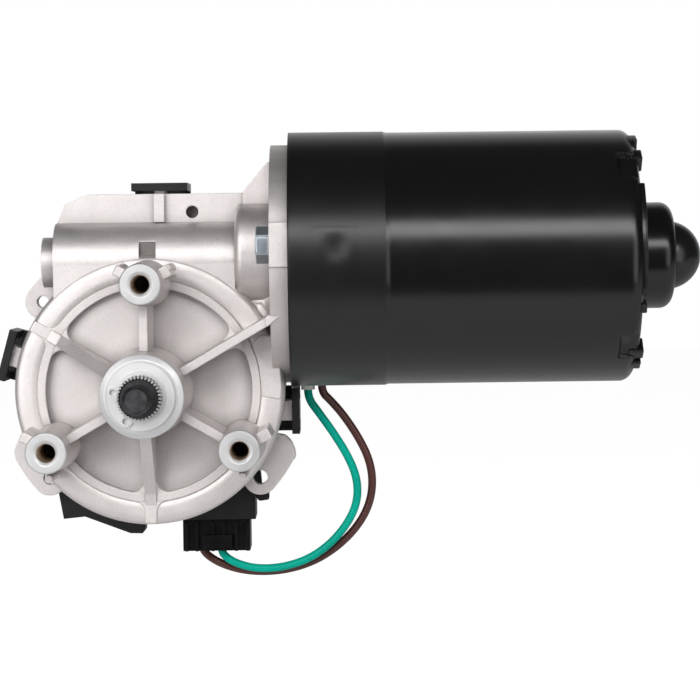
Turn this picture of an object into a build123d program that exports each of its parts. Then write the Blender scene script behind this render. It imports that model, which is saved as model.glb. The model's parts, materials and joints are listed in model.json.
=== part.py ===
from build123d import *
import math
import os

# Two-speed wiper gearmotor, millimetres.
# Frame: the output shaft turns about Y and its stub points to -Y, the motor axis runs
# along X, Z is up. The origin is where the output axis meets the faces of the three
# mounting bosses, so those faces lie at depth 0 and everything else stands behind them.

os.makedirs("parts", exist_ok=True)

# ---------------------------------------------------------------- driving dimensions
# mounting interface
boss_pitch_r = 30.0
boss_count = 3
boss_tip_r = 5.65
boss_root_r = 6.6
boss_hole_r = 2.6
boss_hole_depth = 18.0
boss_edge = 0.3
countersink_depth = 0.48
countersink_angle = 120.0
drill_point = 1.5
post_inset = 2.9
post_spread = 10.9
post_root_r = 1.55
post_tip_y = 8.0
draft = 1.0

# worm drive
gear_module = 1.0
wheel_teeth = 62
worm_pitch_r = 5.0
worm_turns = 7
pressure_angle = 20.0
flank_clearance = 0.12
wheel_width = 10.0
tip_clearance = 0.25
running_clearance = 0.03
assembly_gap = 0.1

# wheel case
web_y = 27.0
web_thick = 3.0
ridge_inset = 6.6
ridge_width = 2.3
ridge_y = 24.0
ridge_side = 1.0
wheel_room = 1.7
case_wall = 4.0
joint_setback = 11.5
shoulder_end_y = 33.5
shoulder_bulge = 0.9
hub_tip_r = 11.4
hub_root_r = 12.4
hub_face_y = -1.5
hub_bevel = 1.5
hub_bore_r = 7.5
rib_width = 3.0
rib_top_y = 8.0
long_rib_angle = 30.0
long_rib_reach = 42.5
long_rib_top_y = 8.5
sloped_rib_angles = (150.0, 270.0)
sloped_rib_width = 3.2
sloped_rib_root_y = 9.0
sloped_rib_drop = 4.2

# worm tunnel, upper plate and motor flange
worm_depth = 36.0
tunnel_r = 11.0
tunnel_left_x = -26.4
tunnel_bore_r = 7.0
tunnel_end_play = 0.5
spigot_wall = 4.0
end_boss_r = 7.05
end_boss_length = 3.7
screw_r = 3.0
bearing_boss_r = 13.5
bearing_boss_lift = 2.5
bearing_boss_length = 10.3
bearing_boss_round = 2.2
bearing_seat_r = 9.0
flange_inset = 3.2
flange_thick = 5.0
flange_r = 32.3
spigot_length = 3.0
plate_height = 19.0
plate_lead = 1.0
plate_hole_r = 1.75
plate_hole_x = 12.1
plate_hole_drop = 5.2
plate_hole_depth = 7.0
lug_x = 2.85
lug_width = 3.0
lug_lead = 1.6

# output shaft
shaft_r = 6.0
serration_depth = 0.38
serration_count = 36
serration_tip_y = -9.2
stub_r = 3.75
stub_tip_y = -16.5
stub_bevel = 0.9
shaft_setback = 4.5
washer_r = 9.1
washer_thick = 0.7
ring_thick = 1.0
ring_r = 6.95

# motor can
can_r = 35.5
can_wall = 1.6
mouth_step = 0.3
mouth_length = 26.5
can_length = 96.0
can_corner_r = 3.4
cup_r = 15.0
cup_length = 11.8
cup_corner_r = 3.4
nose_base_r = 9.65
nose_length = 8.5
window_depth = 1.4
window_width = 9.0
window_length = 6.0
dimple_depth = 0.9
dimple_setback = 12.9
dimple_length = 9.7
dimple_height = 15.8
dimple_corner_r = 2.5
dimple_lift = 1.2

# armature
core_r = 27.0
core_setback = 32.5
core_length = 41.0
slot_count = 12
left_journal_r = 3.5
left_journal_x = -24.5
commutator_r = 12.0
commutator_setback = 8.0
commutator_length = 13.5
arbor_r = 5.0
tail_r = 4.0
magnet_thick = 5.8
magnet_setback = 26.5
magnet_length = 52.0

# brush gear
plate_gap = 0.3
brush_plate_thick = 2.0
brush_width = 5.0
brush_length = 11.0
brush_height = 8.0
holder_wall = 0.6

# flange bolts
bolt_r = 2.5
bolt_offset_y = 24.0
bolt_lift = 4.2
bolt_head_flats = 8.9
bolt_head_height = 3.7
anchor_setback = 18.5
anchor_thick = 4.0

# rear cover
cover_wall = 2.2
cover_step = 1.1
cover_depth = 11.8
cover_inset = 0.2
gasket_thick = 0.7
gasket_inset = 0.9
gasket_width = 2.2

# leads and plug
lead_r = 1.18
plug_left_x = 7.1
plug_right_x = 26.6
plug_height = 9.0
plug_depth = 12.0
plug_lead = 1.0

# ---------------------------------------------------------------- derived values
wheel_pitch_r = gear_module * wheel_teeth / 2
wheel_tip_r = wheel_pitch_r + gear_module
wheel_root_r = wheel_pitch_r - gear_module - tip_clearance
worm_tip_r = worm_pitch_r + gear_module
worm_root_r = worm_pitch_r - gear_module - tip_clearance
worm_lead = math.pi * gear_module
worm_height = wheel_pitch_r + worm_pitch_r
worm_length = worm_turns * worm_lead
wheel_front_y = worm_depth - wheel_width / 2
wheel_rear_y = worm_depth + wheel_width / 2
flank_slope = math.tan(math.radians(pressure_angle))
pocket_floor_y = web_y + web_thick
pocket_r = wheel_tip_r + wheel_room
case_r = pocket_r + case_wall
case_rear_y = worm_depth + joint_setback
ridge_outer_r = case_r - ridge_inset
ridge_inner_r = ridge_outer_r - ridge_width
post_pitch_r = case_r - post_inset
countersink_r = boss_hole_r + countersink_depth * math.tan(math.radians(countersink_angle / 2))
shaft_rear_y = case_rear_y - shaft_setback
plate_front_y = worm_depth - plate_lead
plate_top_z = worm_height + plate_height
flange_left_x = case_r - flange_inset
bearing_boss_x = flange_left_x - bearing_boss_length
flange_right_x = flange_left_x + flange_thick
can_inner_r = can_r - can_wall
can_left_x = flange_right_x
can_end_x = can_left_x + can_length
cup_end_x = can_end_x + cup_length
nose_tip_x = cup_end_x + nose_length
dimple_x = can_left_x + dimple_setback
core_left_x = can_left_x + core_setback
core_right_x = core_left_x + core_length
commutator_left_x = can_left_x + commutator_setback
commutator_right_x = commutator_left_x + commutator_length
magnet_left_x = can_left_x + magnet_setback
magnet_right_x = magnet_left_x + magnet_length
anchor_x = can_left_x + anchor_setback
cover_right_x = bearing_boss_x - assembly_gap
cover_front_y = case_rear_y + gasket_thick
cover_rear_y = cover_front_y + cover_depth
plug_front_y = cover_front_y + plug_lead
plug_rear_y = plug_front_y + plug_depth
mouth_r = can_r + mouth_step
spigot_r = can_inner_r - assembly_gap
spigot_end_x = flange_right_x + spigot_length
brush_plate_x = spigot_end_x + plate_gap
bolt_places = [(worm_depth - bolt_offset_y, worm_height + bolt_lift),
               (worm_depth + bolt_offset_y, worm_height - bolt_lift)]
wheel_twist = math.degrees(wheel_width * worm_lead / (2 * math.pi * worm_pitch_r) / wheel_pitch_r)
boss_angles = [90 + boss * 360 / boss_count for boss in range(boss_count)]
motor_axis = Axis((0, worm_depth, worm_height), (1, 0, 0))


def depth_plane(depth):
    """Plane facing the viewer of the stub at a depth; local x is X and local y is Z."""
    return Plane.XZ.offset(-depth)


def station_plane(station):
    """Plane across the motor axis at a station; local x is Y and local y is Z."""
    return Plane.YZ.offset(station)


def motor_plane(station):
    """Plane across the motor with its origin on the motor axis."""
    return Plane(origin=(station, worm_depth, worm_height), x_dir=(0, 1, 0), z_dir=(1, 0, 0))


def radial_plane(angle):
    """Plane holding the output axis; local x runs outwards at the angle, local y is Y."""
    turn = math.radians(angle)
    outward = (math.cos(turn), 0, math.sin(turn))
    normal = (-math.sin(turn), 0, math.cos(turn))
    return Plane(origin=(0, 0, 0), x_dir=outward, z_dir=normal)


def boss_axis(angle):
    """Axis of the mounting boss at an angle."""
    turn = math.radians(angle)
    return Axis((boss_pitch_r * math.cos(turn), 0, boss_pitch_r * math.sin(turn)), (0, 1, 0))


def on_circle(radius, angle):
    """Point on a circle, as a pair, at an angle in degrees."""
    return (radius * math.cos(math.radians(angle)), radius * math.sin(math.radians(angle)))


# latch clips: bar centre, outward angle, bar length and width of the cast lug it grips
clip_thick = 2.2
clip_reach = 10.7
clip_foot = 3.0
clip_bar_y = case_rear_y - clip_reach
clip_places = [((lug_x, plate_top_z + 2.0), 90.0, 15.9, 3.0),
               (on_circle(case_r + 4.55, 166.6), 164.6, 14.7, 5.6),
               (on_circle(case_r + 3.5, -9.8), 0.0, 13.0, 5.6)]
flange_relief_z = 2.5
flange_relief_gap = 0.3
corner_drop = 9.0
corner_step = 2.7
lead_notch_y = 12.2
lead_notch_width = 7.6
lead_notch_length = 10.0


def cover_outline(inset):
    """Sketch the outline that the casting, gasket and rear cover share, moved inwards."""
    left_x = tunnel_left_x + inset
    top_z = plate_top_z - inset
    with BuildSketch(mode=Mode.PRIVATE) as outline:
        Circle(case_r - inset)
        with BuildLine():
            Polyline((left_x, worm_height - tunnel_r + inset), (left_x, plate_top_z - corner_drop),
                     (left_x + corner_step, plate_top_z - corner_step - inset / 2),
                     (left_x + corner_drop, top_z), (cover_right_x - inset, top_z),
                     (cover_right_x - inset, worm_height - tunnel_r + inset), close=True)
        make_face()
        with Locations((flange_left_x + flange_thick - flange_relief_gap - inset, worm_height / 2)):
            Rectangle(2 * flange_thick, worm_height - 2 * flange_relief_z, mode=Mode.SUBTRACT)
    return outline.sketch


# ---------------------------------------------------------------- gear housing
# rear ears: angle of the hole, sweep of the lobe from it and radius of the hole
ear_r = 5.0
ear_thick = 4.0
ear_overhang = 2.4
ear_pitch_r = case_r + ear_overhang
ear_places = [(142.0, -8.9, 1.72), (-41.5, 12.3, 2.08), (220.5, -13.0, 1.9)]
lug_root = 6.0
datum_pocket = 4.6
datum_depth = 2.2
datum_lift = 3.2
gusset_left_x = bearing_boss_x + bearing_boss_round
gusset_height = 27.5
gusset_top_z = worm_height + gusset_height
gusset_front_y = worm_depth - 2
gusset_rear_y = worm_depth + 4
gusset_overlap = 1.0
bolt_block_height = 12.0
bolt_block_front_y = 3.2
bolt_block_depth = 17.0
pad_angle = 35.1
pad_length = 4.8
pad_width = 2.2
pad_front_y = 27.5
pad_rear_y = 40.0
foot_width = 6.0
foot_thick = 2.0
foot_drop = 2.4


def ear_lobe(growth):
    """Sketch the three rear ears, each a lobe along the side wall, grown by a clearance."""
    with BuildSketch(mode=Mode.PRIVATE) as lobes:
        for hole_angle, sweep_angle, hole_r in ear_places:
            with BuildLine(mode=Mode.PRIVATE) as spine:
                CenterArc((0, 0), ear_pitch_r, hole_angle, sweep_angle)
            SlotArc(spine.wires()[0], height=2 * (ear_r + growth))
    return lobes.sketch


# bearing boss beside the flange, with its free edge rounded
with BuildPart() as bearing_boss:
    with BuildSketch(motor_plane(bearing_boss_x)):
        Circle(bearing_boss_r)
        with Locations((0, bearing_boss_lift)):
            Circle(bearing_boss_r)
        with Locations((0, bearing_boss_lift / 2)):
            Rectangle(2 * bearing_boss_r, bearing_boss_lift)
    extrude(amount=flange_left_x - bearing_boss_x)
    fillet(bearing_boss.faces().sort_by(Axis.X)[0].edges(), radius=bearing_boss_round)

with BuildPart() as gear_housing:
    with BuildSketch(Plane.XY):
        with BuildLine():
            web_line = Polyline((0, web_y), (ridge_inner_r, web_y), (ridge_inner_r, ridge_y),
                                (ridge_outer_r, ridge_y), (ridge_outer_r, ridge_y + ridge_side))
            shoulder_start = web_line @ 1
            shoulder_end = Vector(case_r, shoulder_end_y)
            shoulder_mid = (shoulder_start + shoulder_end) / 2
            shoulder_mid += Vector(shoulder_bulge, -shoulder_bulge)
            ThreePointArc(shoulder_start, shoulder_mid, shoulder_end)
            Polyline(shoulder_end, (case_r, case_rear_y), (0, case_rear_y), (0, web_y))
        make_face()
    revolve(axis=Axis.Y)

    # hub and the three mounting bosses, drafted towards their tips
    with BuildSketch(Plane.XY):
        with BuildLine():
            Polyline((0, hub_face_y), (hub_tip_r - hub_bevel, hub_face_y),
                     (hub_tip_r, hub_face_y + hub_bevel / 2), (hub_root_r, pocket_floor_y),
                     (0, pocket_floor_y), (0, hub_face_y))
        make_face()
    revolve(axis=Axis.Y)
    for boss_angle in boss_angles:
        with BuildSketch(radial_plane(boss_angle)):
            with BuildLine():
                Polyline((boss_pitch_r, 0), (boss_pitch_r + boss_tip_r - boss_edge, 0),
                         (boss_pitch_r + boss_tip_r, boss_edge),
                         (boss_pitch_r + boss_root_r, pocket_floor_y),
                         (boss_pitch_r, pocket_floor_y), close=True)
            make_face()
        revolve(axis=boss_axis(boss_angle))

    # ejector posts beside each boss
    with BuildSketch(depth_plane(shoulder_end_y)):
        for boss_angle in boss_angles:
            for side in (-1, 1):
                with Locations(on_circle(post_pitch_r, boss_angle + side * post_spread)):
                    Circle(post_root_r)
    extrude(amount=shoulder_end_y - post_tip_y, taper=draft)

    # ribs from the hub to the bosses
    rib_length = boss_pitch_r - hub_tip_r
    with BuildSketch(depth_plane(web_y)):
        with PolarLocations(hub_tip_r + rib_length / 2, boss_count, start_angle=90):
            Rectangle(rib_length, rib_width)
    extrude(amount=web_y - rib_top_y, taper=draft)
    # long rib that runs over the ridge to the motor flange
    long_rib_length = long_rib_reach - hub_tip_r
    with BuildSketch(depth_plane(pocket_floor_y)):
        with PolarLocations(hub_tip_r + long_rib_length / 2, 1, start_angle=long_rib_angle):
            Rectangle(long_rib_length, rib_width)
    extrude(amount=pocket_floor_y - long_rib_top_y, taper=draft)
    # ribs that fall from the hub to the shoulder
    for rib_angle in sloped_rib_angles:
        with BuildSketch(radial_plane(rib_angle)):
            with BuildLine():
                Polyline((hub_tip_r, sloped_rib_root_y), (ridge_inner_r, ridge_y - 0.6),
                         (ridge_outer_r + 0.8, ridge_y - 0.2),
                         (case_r - 0.5, shoulder_end_y - sloped_rib_drop),
                         (case_r - 0.5, shoulder_end_y), (hub_tip_r, pocket_floor_y), close=True)
            make_face()
        extrude(amount=sloped_rib_width / 2, both=True)

    # worm tunnel with its end boss
    tunnel_length = bearing_boss_x - tunnel_left_x
    with BuildSketch(motor_plane(tunnel_left_x)):
        Circle(tunnel_r)
        with Locations(((case_rear_y - worm_depth) / 2, 0)):
            Rectangle(case_rear_y - worm_depth, 2 * tunnel_r)
    extrude(amount=tunnel_length)
    with BuildSketch(motor_plane(tunnel_left_x - end_boss_length)):
        Circle(end_boss_r)
    extrude(amount=end_boss_length)

    # upper plate with a clipped corner, latch lug and gusset to the flange
    with BuildSketch(depth_plane(case_rear_y)):
        with BuildLine():
            Polyline((tunnel_left_x, worm_height), (tunnel_left_x, plate_top_z - corner_drop),
                     (tunnel_left_x + corner_step, plate_top_z - corner_step),
                     (tunnel_left_x + corner_drop, plate_top_z),
                     (gusset_left_x, plate_top_z), (gusset_left_x, worm_height), close=True)
        make_face()
    extrude(amount=case_rear_y - plate_front_y)
    with BuildSketch(depth_plane(case_rear_y)):
        with Locations((clip_places[0][0][0], (plate_top_z + worm_height + tunnel_r) / 2)):
            Rectangle(lug_width, plate_top_z - worm_height - tunnel_r)
    extrude(amount=case_rear_y - plate_front_y + lug_lead)
    with BuildSketch(depth_plane(gusset_rear_y)):
        with BuildLine():
            Polyline((gusset_left_x, plate_top_z), (flange_left_x - gusset_overlap, gusset_top_z),
                     (flange_left_x + gusset_overlap, gusset_top_z),
                     (flange_left_x + gusset_overlap, worm_height),
                     (gusset_left_x, worm_height), close=True)
        make_face()
    extrude(amount=gusset_rear_y - gusset_front_y)

    # bearing boss, motor flange with its two bolt blocks, and the spigot in the can
    add(bearing_boss.part)
    with BuildSketch(motor_plane(flange_left_x)):
        Circle(flange_r)
        for side in (-1, 1):
            block_centre = side * (worm_depth - bolt_block_front_y - bolt_block_depth / 2)
            with Locations((block_centre, -side * bolt_lift)):
                Rectangle(bolt_block_depth, bolt_block_height)
    extrude(amount=flange_thick)
    with BuildSketch(motor_plane(flange_right_x)):
        Circle(spigot_r)
    extrude(amount=spigot_length)
    # locating foot under the flange, and a pad where the case runs into it
    with BuildSketch(motor_plane(flange_right_x - foot_thick)):
        with Locations((0, -flange_r + foot_drop / 2)):
            Rectangle(foot_width, 3 * foot_drop)
    extrude(amount=foot_thick)
    with BuildSketch(depth_plane(pad_rear_y)):
        with Locations(Location((*on_circle(case_r + pad_width / 2 - 0.2, pad_angle), 0), pad_angle + 90)):
            SlotOverall(pad_length, pad_width)
    extrude(amount=pad_rear_y - pad_front_y)

    # rear mounting ears and latch lugs on the side wall
    with BuildSketch(depth_plane(case_rear_y)):
        add(ear_lobe(0))
    extrude(amount=ear_thick)
    lug_front_y = clip_bar_y + clip_thick / 2 + assembly_gap
    with BuildSketch(depth_plane(case_rear_y)):
        for (clip_x, clip_z), clip_angle, clip_span, lug_span in clip_places:
            back_x, back_z = on_circle(lug_root / 2 - clip_thick / 2, clip_angle)
            with Locations(Location((clip_x - back_x, clip_z - back_z, 0), clip_angle)):
                Rectangle(lug_root, lug_span)
    extrude(amount=case_rear_y - lug_front_y)

    # wheel pocket and worm bore opened into each other
    with BuildSketch(depth_plane(case_rear_y)):
        Circle(pocket_r)
    extrude(amount=case_rear_y - pocket_floor_y, mode=Mode.SUBTRACT)
    with BuildSketch(motor_plane(left_journal_x - tunnel_end_play)):
        Circle(tunnel_bore_r)
    extrude(amount=bearing_boss_x - left_journal_x + tunnel_end_play, mode=Mode.SUBTRACT)
    with BuildSketch(motor_plane(bearing_boss_x)):
        Circle(bearing_seat_r)
    extrude(amount=spigot_end_x - bearing_boss_x, mode=Mode.SUBTRACT)
    with BuildSketch(motor_plane(tunnel_left_x - end_boss_length)):
        Circle(screw_r)
    extrude(amount=worm_length, mode=Mode.SUBTRACT)
    # hollow behind the flange, round the commutator end
    with BuildSketch(motor_plane(flange_right_x)):
        Circle(spigot_r - spigot_wall)
    extrude(amount=spigot_length, mode=Mode.SUBTRACT)

    # way through the spigot for the leads
    with BuildSketch(motor_plane(flange_right_x)):
        with Locations((lead_notch_y, -spigot_r + spigot_wall / 2)):
            Rectangle(lead_notch_width, lead_notch_length)
    extrude(amount=spigot_length, mode=Mode.SUBTRACT)

    # holes
    with BuildSketch(depth_plane(hub_face_y)):
        Circle(hub_bore_r)
    extrude(amount=-(pocket_floor_y - hub_face_y), mode=Mode.SUBTRACT)
    for boss_angle in boss_angles:
        with BuildSketch(radial_plane(boss_angle)):
            with BuildLine():
                Polyline((boss_pitch_r, 0), (boss_pitch_r + countersink_r, 0),
                         (boss_pitch_r + boss_hole_r, countersink_depth),
                         (boss_pitch_r + boss_hole_r, boss_hole_depth),
                         (boss_pitch_r, boss_hole_depth + drill_point), close=True)
            make_face()
        revolve(axis=boss_axis(boss_angle), mode=Mode.SUBTRACT)
    with BuildSketch(depth_plane(case_rear_y)):
        for hole_angle, sweep_angle, hole_r in ear_places:
            with Locations(on_circle(ear_pitch_r, hole_angle)):
                Circle(hole_r)
    extrude(amount=ear_thick, mode=Mode.SUBTRACT)
    with BuildSketch(depth_plane(plate_front_y)):
        with Locations((plate_hole_x, plate_top_z - plate_hole_drop)):
            Circle(plate_hole_r)
    extrude(amount=-plate_hole_depth, mode=Mode.SUBTRACT)
    with BuildSketch(depth_plane(worm_depth - tunnel_r)):
        with Locations((0, worm_height + datum_lift)):
            Rectangle(datum_pocket, datum_pocket)
    extrude(amount=-datum_depth, mode=Mode.SUBTRACT)
    with BuildSketch(station_plane(flange_left_x)):
        with Locations(*bolt_places):
            Circle(bolt_r + assembly_gap)
    extrude(amount=flange_thick + spigot_length, mode=Mode.SUBTRACT)

gear_housing.part.label = "gear_housing"
export_step(gear_housing.part, "parts/gear_housing.step")

# ---------------------------------------------------------------- output shaft group
groove_depth = 0.8
groove_play = 0.1
serration_lead = 0.8
serration_root_step = 1.1
with BuildPart() as output_shaft:
    groove_y = hub_face_y - assembly_gap - washer_thick - ring_thick - groove_play / 2
    with BuildSketch(Plane.XY):
        with BuildLine():
            Polyline((0, stub_tip_y), (stub_r - stub_bevel, stub_tip_y),
                     (stub_r, stub_tip_y + stub_bevel),
                     (stub_r, serration_tip_y), (shaft_r - serration_root_step, serration_tip_y),
                     (shaft_r - serration_depth, serration_tip_y + serration_lead),
                     (shaft_r - serration_depth, groove_y), (shaft_r - groove_depth, groove_y),
                     (shaft_r - groove_depth, groove_y + ring_thick + groove_play),
                     (shaft_r, groove_y + ring_thick + groove_play),
                     (shaft_r, shaft_rear_y - stub_bevel),
                     (shaft_r - stub_bevel, shaft_rear_y), (0, shaft_rear_y), (0, stub_tip_y))
        make_face()
    revolve(axis=Axis.Y)
    tooth_span = 360 / serration_count
    with BuildSketch(depth_plane(groove_y)):
        for tooth in range(serration_count):
            tooth_angle = tooth * tooth_span
            with BuildLine():
                Polyline(on_circle(shaft_r - 2 * serration_depth, tooth_angle - tooth_span / 2.2),
                         on_circle(shaft_r, tooth_angle),
                         on_circle(shaft_r - 2 * serration_depth, tooth_angle + tooth_span / 2.2),
                         close=True)
            make_face()
    extrude(amount=groove_y - serration_tip_y - serration_lead)
output_shaft.part.label = "output_shaft"
export_step(output_shaft.part, "parts/output_shaft.step")

with BuildPart() as retaining_clip:
    ring_rear_y = hub_face_y - assembly_gap - washer_thick
    ring_lug_r = 1.75
    ring_lug_pitch = 7.3
    ring_lug_hole_r = 0.85
    ring_lug_angles = (169.6, 237.4)
    ring_gap_angle = 203.0
    ring_gap_half = 15.0
    ring_inner_r = shaft_r - groove_depth + groove_play / 2
    with BuildSketch(depth_plane(ring_rear_y)):
        Circle(ring_r)
        for lug_angle in ring_lug_angles:
            with Locations(on_circle(ring_lug_pitch, lug_angle)):
                Circle(ring_lug_r)
        Circle(ring_inner_r, mode=Mode.SUBTRACT)
        for lug_angle in ring_lug_angles:
            with Locations(on_circle(ring_lug_pitch + 0.2, lug_angle)):
                Circle(ring_lug_hole_r, mode=Mode.SUBTRACT)
        with BuildLine():
            Polyline((0, 0), on_circle(2 * ring_r, ring_gap_angle - ring_gap_half),
                     on_circle(2 * ring_r, ring_gap_angle + ring_gap_half), close=True)
        make_face(mode=Mode.SUBTRACT)
    extrude(amount=ring_thick)
retaining_clip.part.label = "retaining_clip"
export_step(retaining_clip.part, "parts/retaining_clip.step")

with BuildPart() as thrust_washer:
    with BuildSketch(depth_plane(hub_face_y - assembly_gap)):
        Circle(washer_r)
        Circle(shaft_r + assembly_gap, mode=Mode.SUBTRACT)
    extrude(amount=washer_thick)
thrust_washer.part.label = "thrust_washer"
export_step(thrust_washer.part, "parts/thrust_washer.step")


def wheel_outline(turn):
    """Closed points of the toothed rim, turned by an angle about the output axis."""
    step = 360 / wheel_teeth
    half_pitch_width = math.pi * gear_module / 4 - flank_clearance
    half_tip = half_pitch_width - gear_module * flank_slope
    half_root = half_pitch_width + (wheel_pitch_r - wheel_root_r) * flank_slope
    points = []
    for tooth in range(wheel_teeth):
        centre = 90 + (tooth + 0.5) * step + turn
        root_angle = math.degrees(half_root / wheel_root_r)
        tip_angle = math.degrees(half_tip / wheel_tip_r)
        points.append(on_circle(wheel_root_r, centre - root_angle))
        points.append(on_circle(wheel_tip_r, centre - tip_angle))
        points.append(on_circle(wheel_tip_r, centre + tip_angle))
        points.append(on_circle(wheel_root_r, centre + root_angle))
    return points


wheel_hub_r = 11.0
wheel_rim_r = 26.5
wheel_web_thick = 4.0
wheel_rib_count = 8
wheel_rib_width = 2.0

with BuildPart() as worm_wheel:
    for section_y, turn in ((wheel_front_y, wheel_twist / 2), (wheel_rear_y, -wheel_twist / 2)):
        with BuildSketch(depth_plane(section_y)):
            with BuildLine():
                Polyline(*wheel_outline(turn), close=True)
            make_face()
    loft(ruled=True)
    for face_y, side in ((wheel_front_y, -1), (wheel_rear_y, 1)):
        with BuildSketch(depth_plane(face_y)):
            Circle(wheel_rim_r)
            Circle(wheel_hub_r, mode=Mode.SUBTRACT)
            with PolarLocations((wheel_rim_r + wheel_hub_r) / 2, wheel_rib_count):
                Rectangle(wheel_rim_r, wheel_rib_width, mode=Mode.SUBTRACT)
        extrude(amount=side * (wheel_width - wheel_web_thick) / 2, mode=Mode.SUBTRACT)
    with BuildSketch(depth_plane(wheel_rear_y)):
        Circle(shaft_r)
    extrude(amount=wheel_width, mode=Mode.SUBTRACT)
worm_wheel.part.label = "worm_wheel"
export_step(worm_wheel.part, "parts/worm_wheel.step")

disc_thick = 0.5
disc_margin = 1.0
park_notch_angle = 40
park_notch_length = 8.0
park_notch_width = 12.0
with BuildPart() as contact_disc:
    with BuildSketch(depth_plane(wheel_rear_y + disc_thick)):
        Circle(wheel_rim_r - disc_margin)
        Circle(wheel_hub_r - disc_margin, mode=Mode.SUBTRACT)
        with PolarLocations(wheel_rim_r - park_notch_length / 2, 1, start_angle=park_notch_angle):
            Rectangle(park_notch_length, park_notch_width, mode=Mode.SUBTRACT)
    extrude(amount=disc_thick)
contact_disc.part.label = "contact_disc"
export_step(contact_disc.part, "parts/contact_disc.step")

bush_length = 12.0
bush_recess = 0.4
for bush_name, bush_front_y in (("front_bush", hub_face_y + bush_recess),
                                ("rear_bush", pocket_floor_y - bush_recess - bush_length)):
    with BuildPart() as bush:
        with BuildSketch(depth_plane(bush_front_y)):
            Circle(hub_bore_r)
            Circle(shaft_r + running_clearance, mode=Mode.SUBTRACT)
        extrude(amount=-bush_length)
    bush.part.label = bush_name
    export_step(bush.part, f"parts/{bush_name}.step")

seal_y = hub_face_y + bush_length + 2
seal_play = 0.04
with BuildPart() as shaft_seal:
    with BuildSketch(Plane.XY):
        with Locations(((hub_bore_r + shaft_r) / 2, seal_y)):
            Circle((hub_bore_r - shaft_r) / 2 - seal_play)
    revolve(axis=Axis.Y)
shaft_seal.part.label = "shaft_seal"
export_step(shaft_seal.part, "parts/shaft_seal.step")

# ---------------------------------------------------------------- armature
worm_blank_left_x = -worm_length / 2 - 2.5
journal_bevel = 0.6
arbor_shoulder = 2.0
tail_shoulder_x = core_right_x + 12
tail_end_x = cup_end_x - 1.8
bush_left_x = bearing_boss_x + 2.8
bush_right_x = flange_left_x + 1

with BuildPart() as armature_shaft:
    with BuildSketch(Plane.XY.offset(worm_height)):
        with BuildLine():
            Polyline((left_journal_x, worm_depth),
                     (left_journal_x, worm_depth + left_journal_r - journal_bevel),
                     (left_journal_x + journal_bevel, worm_depth + left_journal_r),
                     (worm_blank_left_x, worm_depth + left_journal_r),
                     (worm_blank_left_x, worm_depth + worm_root_r),
                     (-worm_blank_left_x, worm_depth + worm_root_r),
                     (-worm_blank_left_x + arbor_shoulder, worm_depth + arbor_r),
                     (tail_shoulder_x, worm_depth + arbor_r),
                     (tail_shoulder_x + arbor_r - tail_r, worm_depth + tail_r),
                     (tail_end_x, worm_depth + tail_r), (tail_end_x, worm_depth),
                     (left_journal_x, worm_depth))
        make_face()
    revolve(axis=motor_axis)
    thread_tip = math.pi * gear_module / 4 - gear_module * flank_slope - flank_clearance
    thread_sink = 0.15
    thread_height = worm_tip_r - worm_root_r
    thread_root = thread_tip + (thread_height + thread_sink) * flank_slope
    thread_path = Helix(pitch=worm_lead, height=worm_length, radius=worm_root_r,
                        center=(-worm_length / 2, worm_depth, worm_height), direction=(1, 0, 0),
                        mode=Mode.PRIVATE)
    with BuildSketch(Plane(origin=thread_path @ 0, z_dir=thread_path % 0, x_dir=(1, 0, 0))):
        with BuildLine():
            Polyline((-thread_root, -thread_sink), (-thread_tip, thread_height),
                     (thread_tip, thread_height), (thread_root, -thread_sink), close=True)
        make_face()
    sweep(path=thread_path, is_frenet=True)
armature_shaft.part.label = "armature_shaft"
export_step(armature_shaft.part, "parts/armature_shaft.step")

slot_mouth = 2.4
slot_outer_r = core_r - 2.0
slot_inner_r = 11.5
slot_half_angle = 9.5
slot_mouth_depth = 6.0
with BuildPart() as armature_core:
    with BuildSketch(motor_plane(core_left_x)):
        Circle(core_r)
        Circle(arbor_r, mode=Mode.SUBTRACT)
        for slot in range(slot_count):
            slot_angle = slot * 360 / slot_count
            with BuildLine():
                Polyline(on_circle(slot_inner_r, slot_angle),
                         on_circle(slot_outer_r, slot_angle - slot_half_angle),
                         on_circle(slot_outer_r, slot_angle + slot_half_angle), close=True)
            make_face(mode=Mode.SUBTRACT)
        with PolarLocations(core_r, slot_count):
            Rectangle(slot_mouth_depth, slot_mouth, mode=Mode.SUBTRACT)
    extrude(amount=core_right_x - core_left_x)
armature_core.part.label = "armature_core"
export_step(armature_core.part, "parts/armature_core.step")

winding_overhang = 8.0
winding_outer_r = 24.0
winding_inner_r = 7.0
winding_gap = 0.35
winding_draft = 12
winding_setback = 4 * winding_gap
winding_half_angle = slot_half_angle - 2
with BuildPart() as armature_windings:
    for end_x, side in ((core_left_x, -1), (core_right_x, 1)):
        with BuildSketch(motor_plane(end_x)):
            Circle(winding_outer_r)
            Circle(winding_inner_r, mode=Mode.SUBTRACT)
        extrude(amount=side * winding_overhang, taper=winding_draft)
    with BuildSketch(motor_plane(core_left_x - winding_gap)):
        for slot in range(slot_count):
            slot_angle = slot * 360 / slot_count
            with BuildLine():
                Polyline(on_circle(slot_inner_r + 3 * winding_gap, slot_angle),
                         on_circle(slot_outer_r - winding_setback, slot_angle - winding_half_angle),
                         on_circle(slot_outer_r - winding_setback, slot_angle + winding_half_angle),
                         close=True)
            make_face()
    extrude(amount=core_right_x - core_left_x + 2 * winding_gap)
armature_windings.part.label = "armature_windings"
export_step(armature_windings.part, "parts/armature_windings.step")

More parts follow.
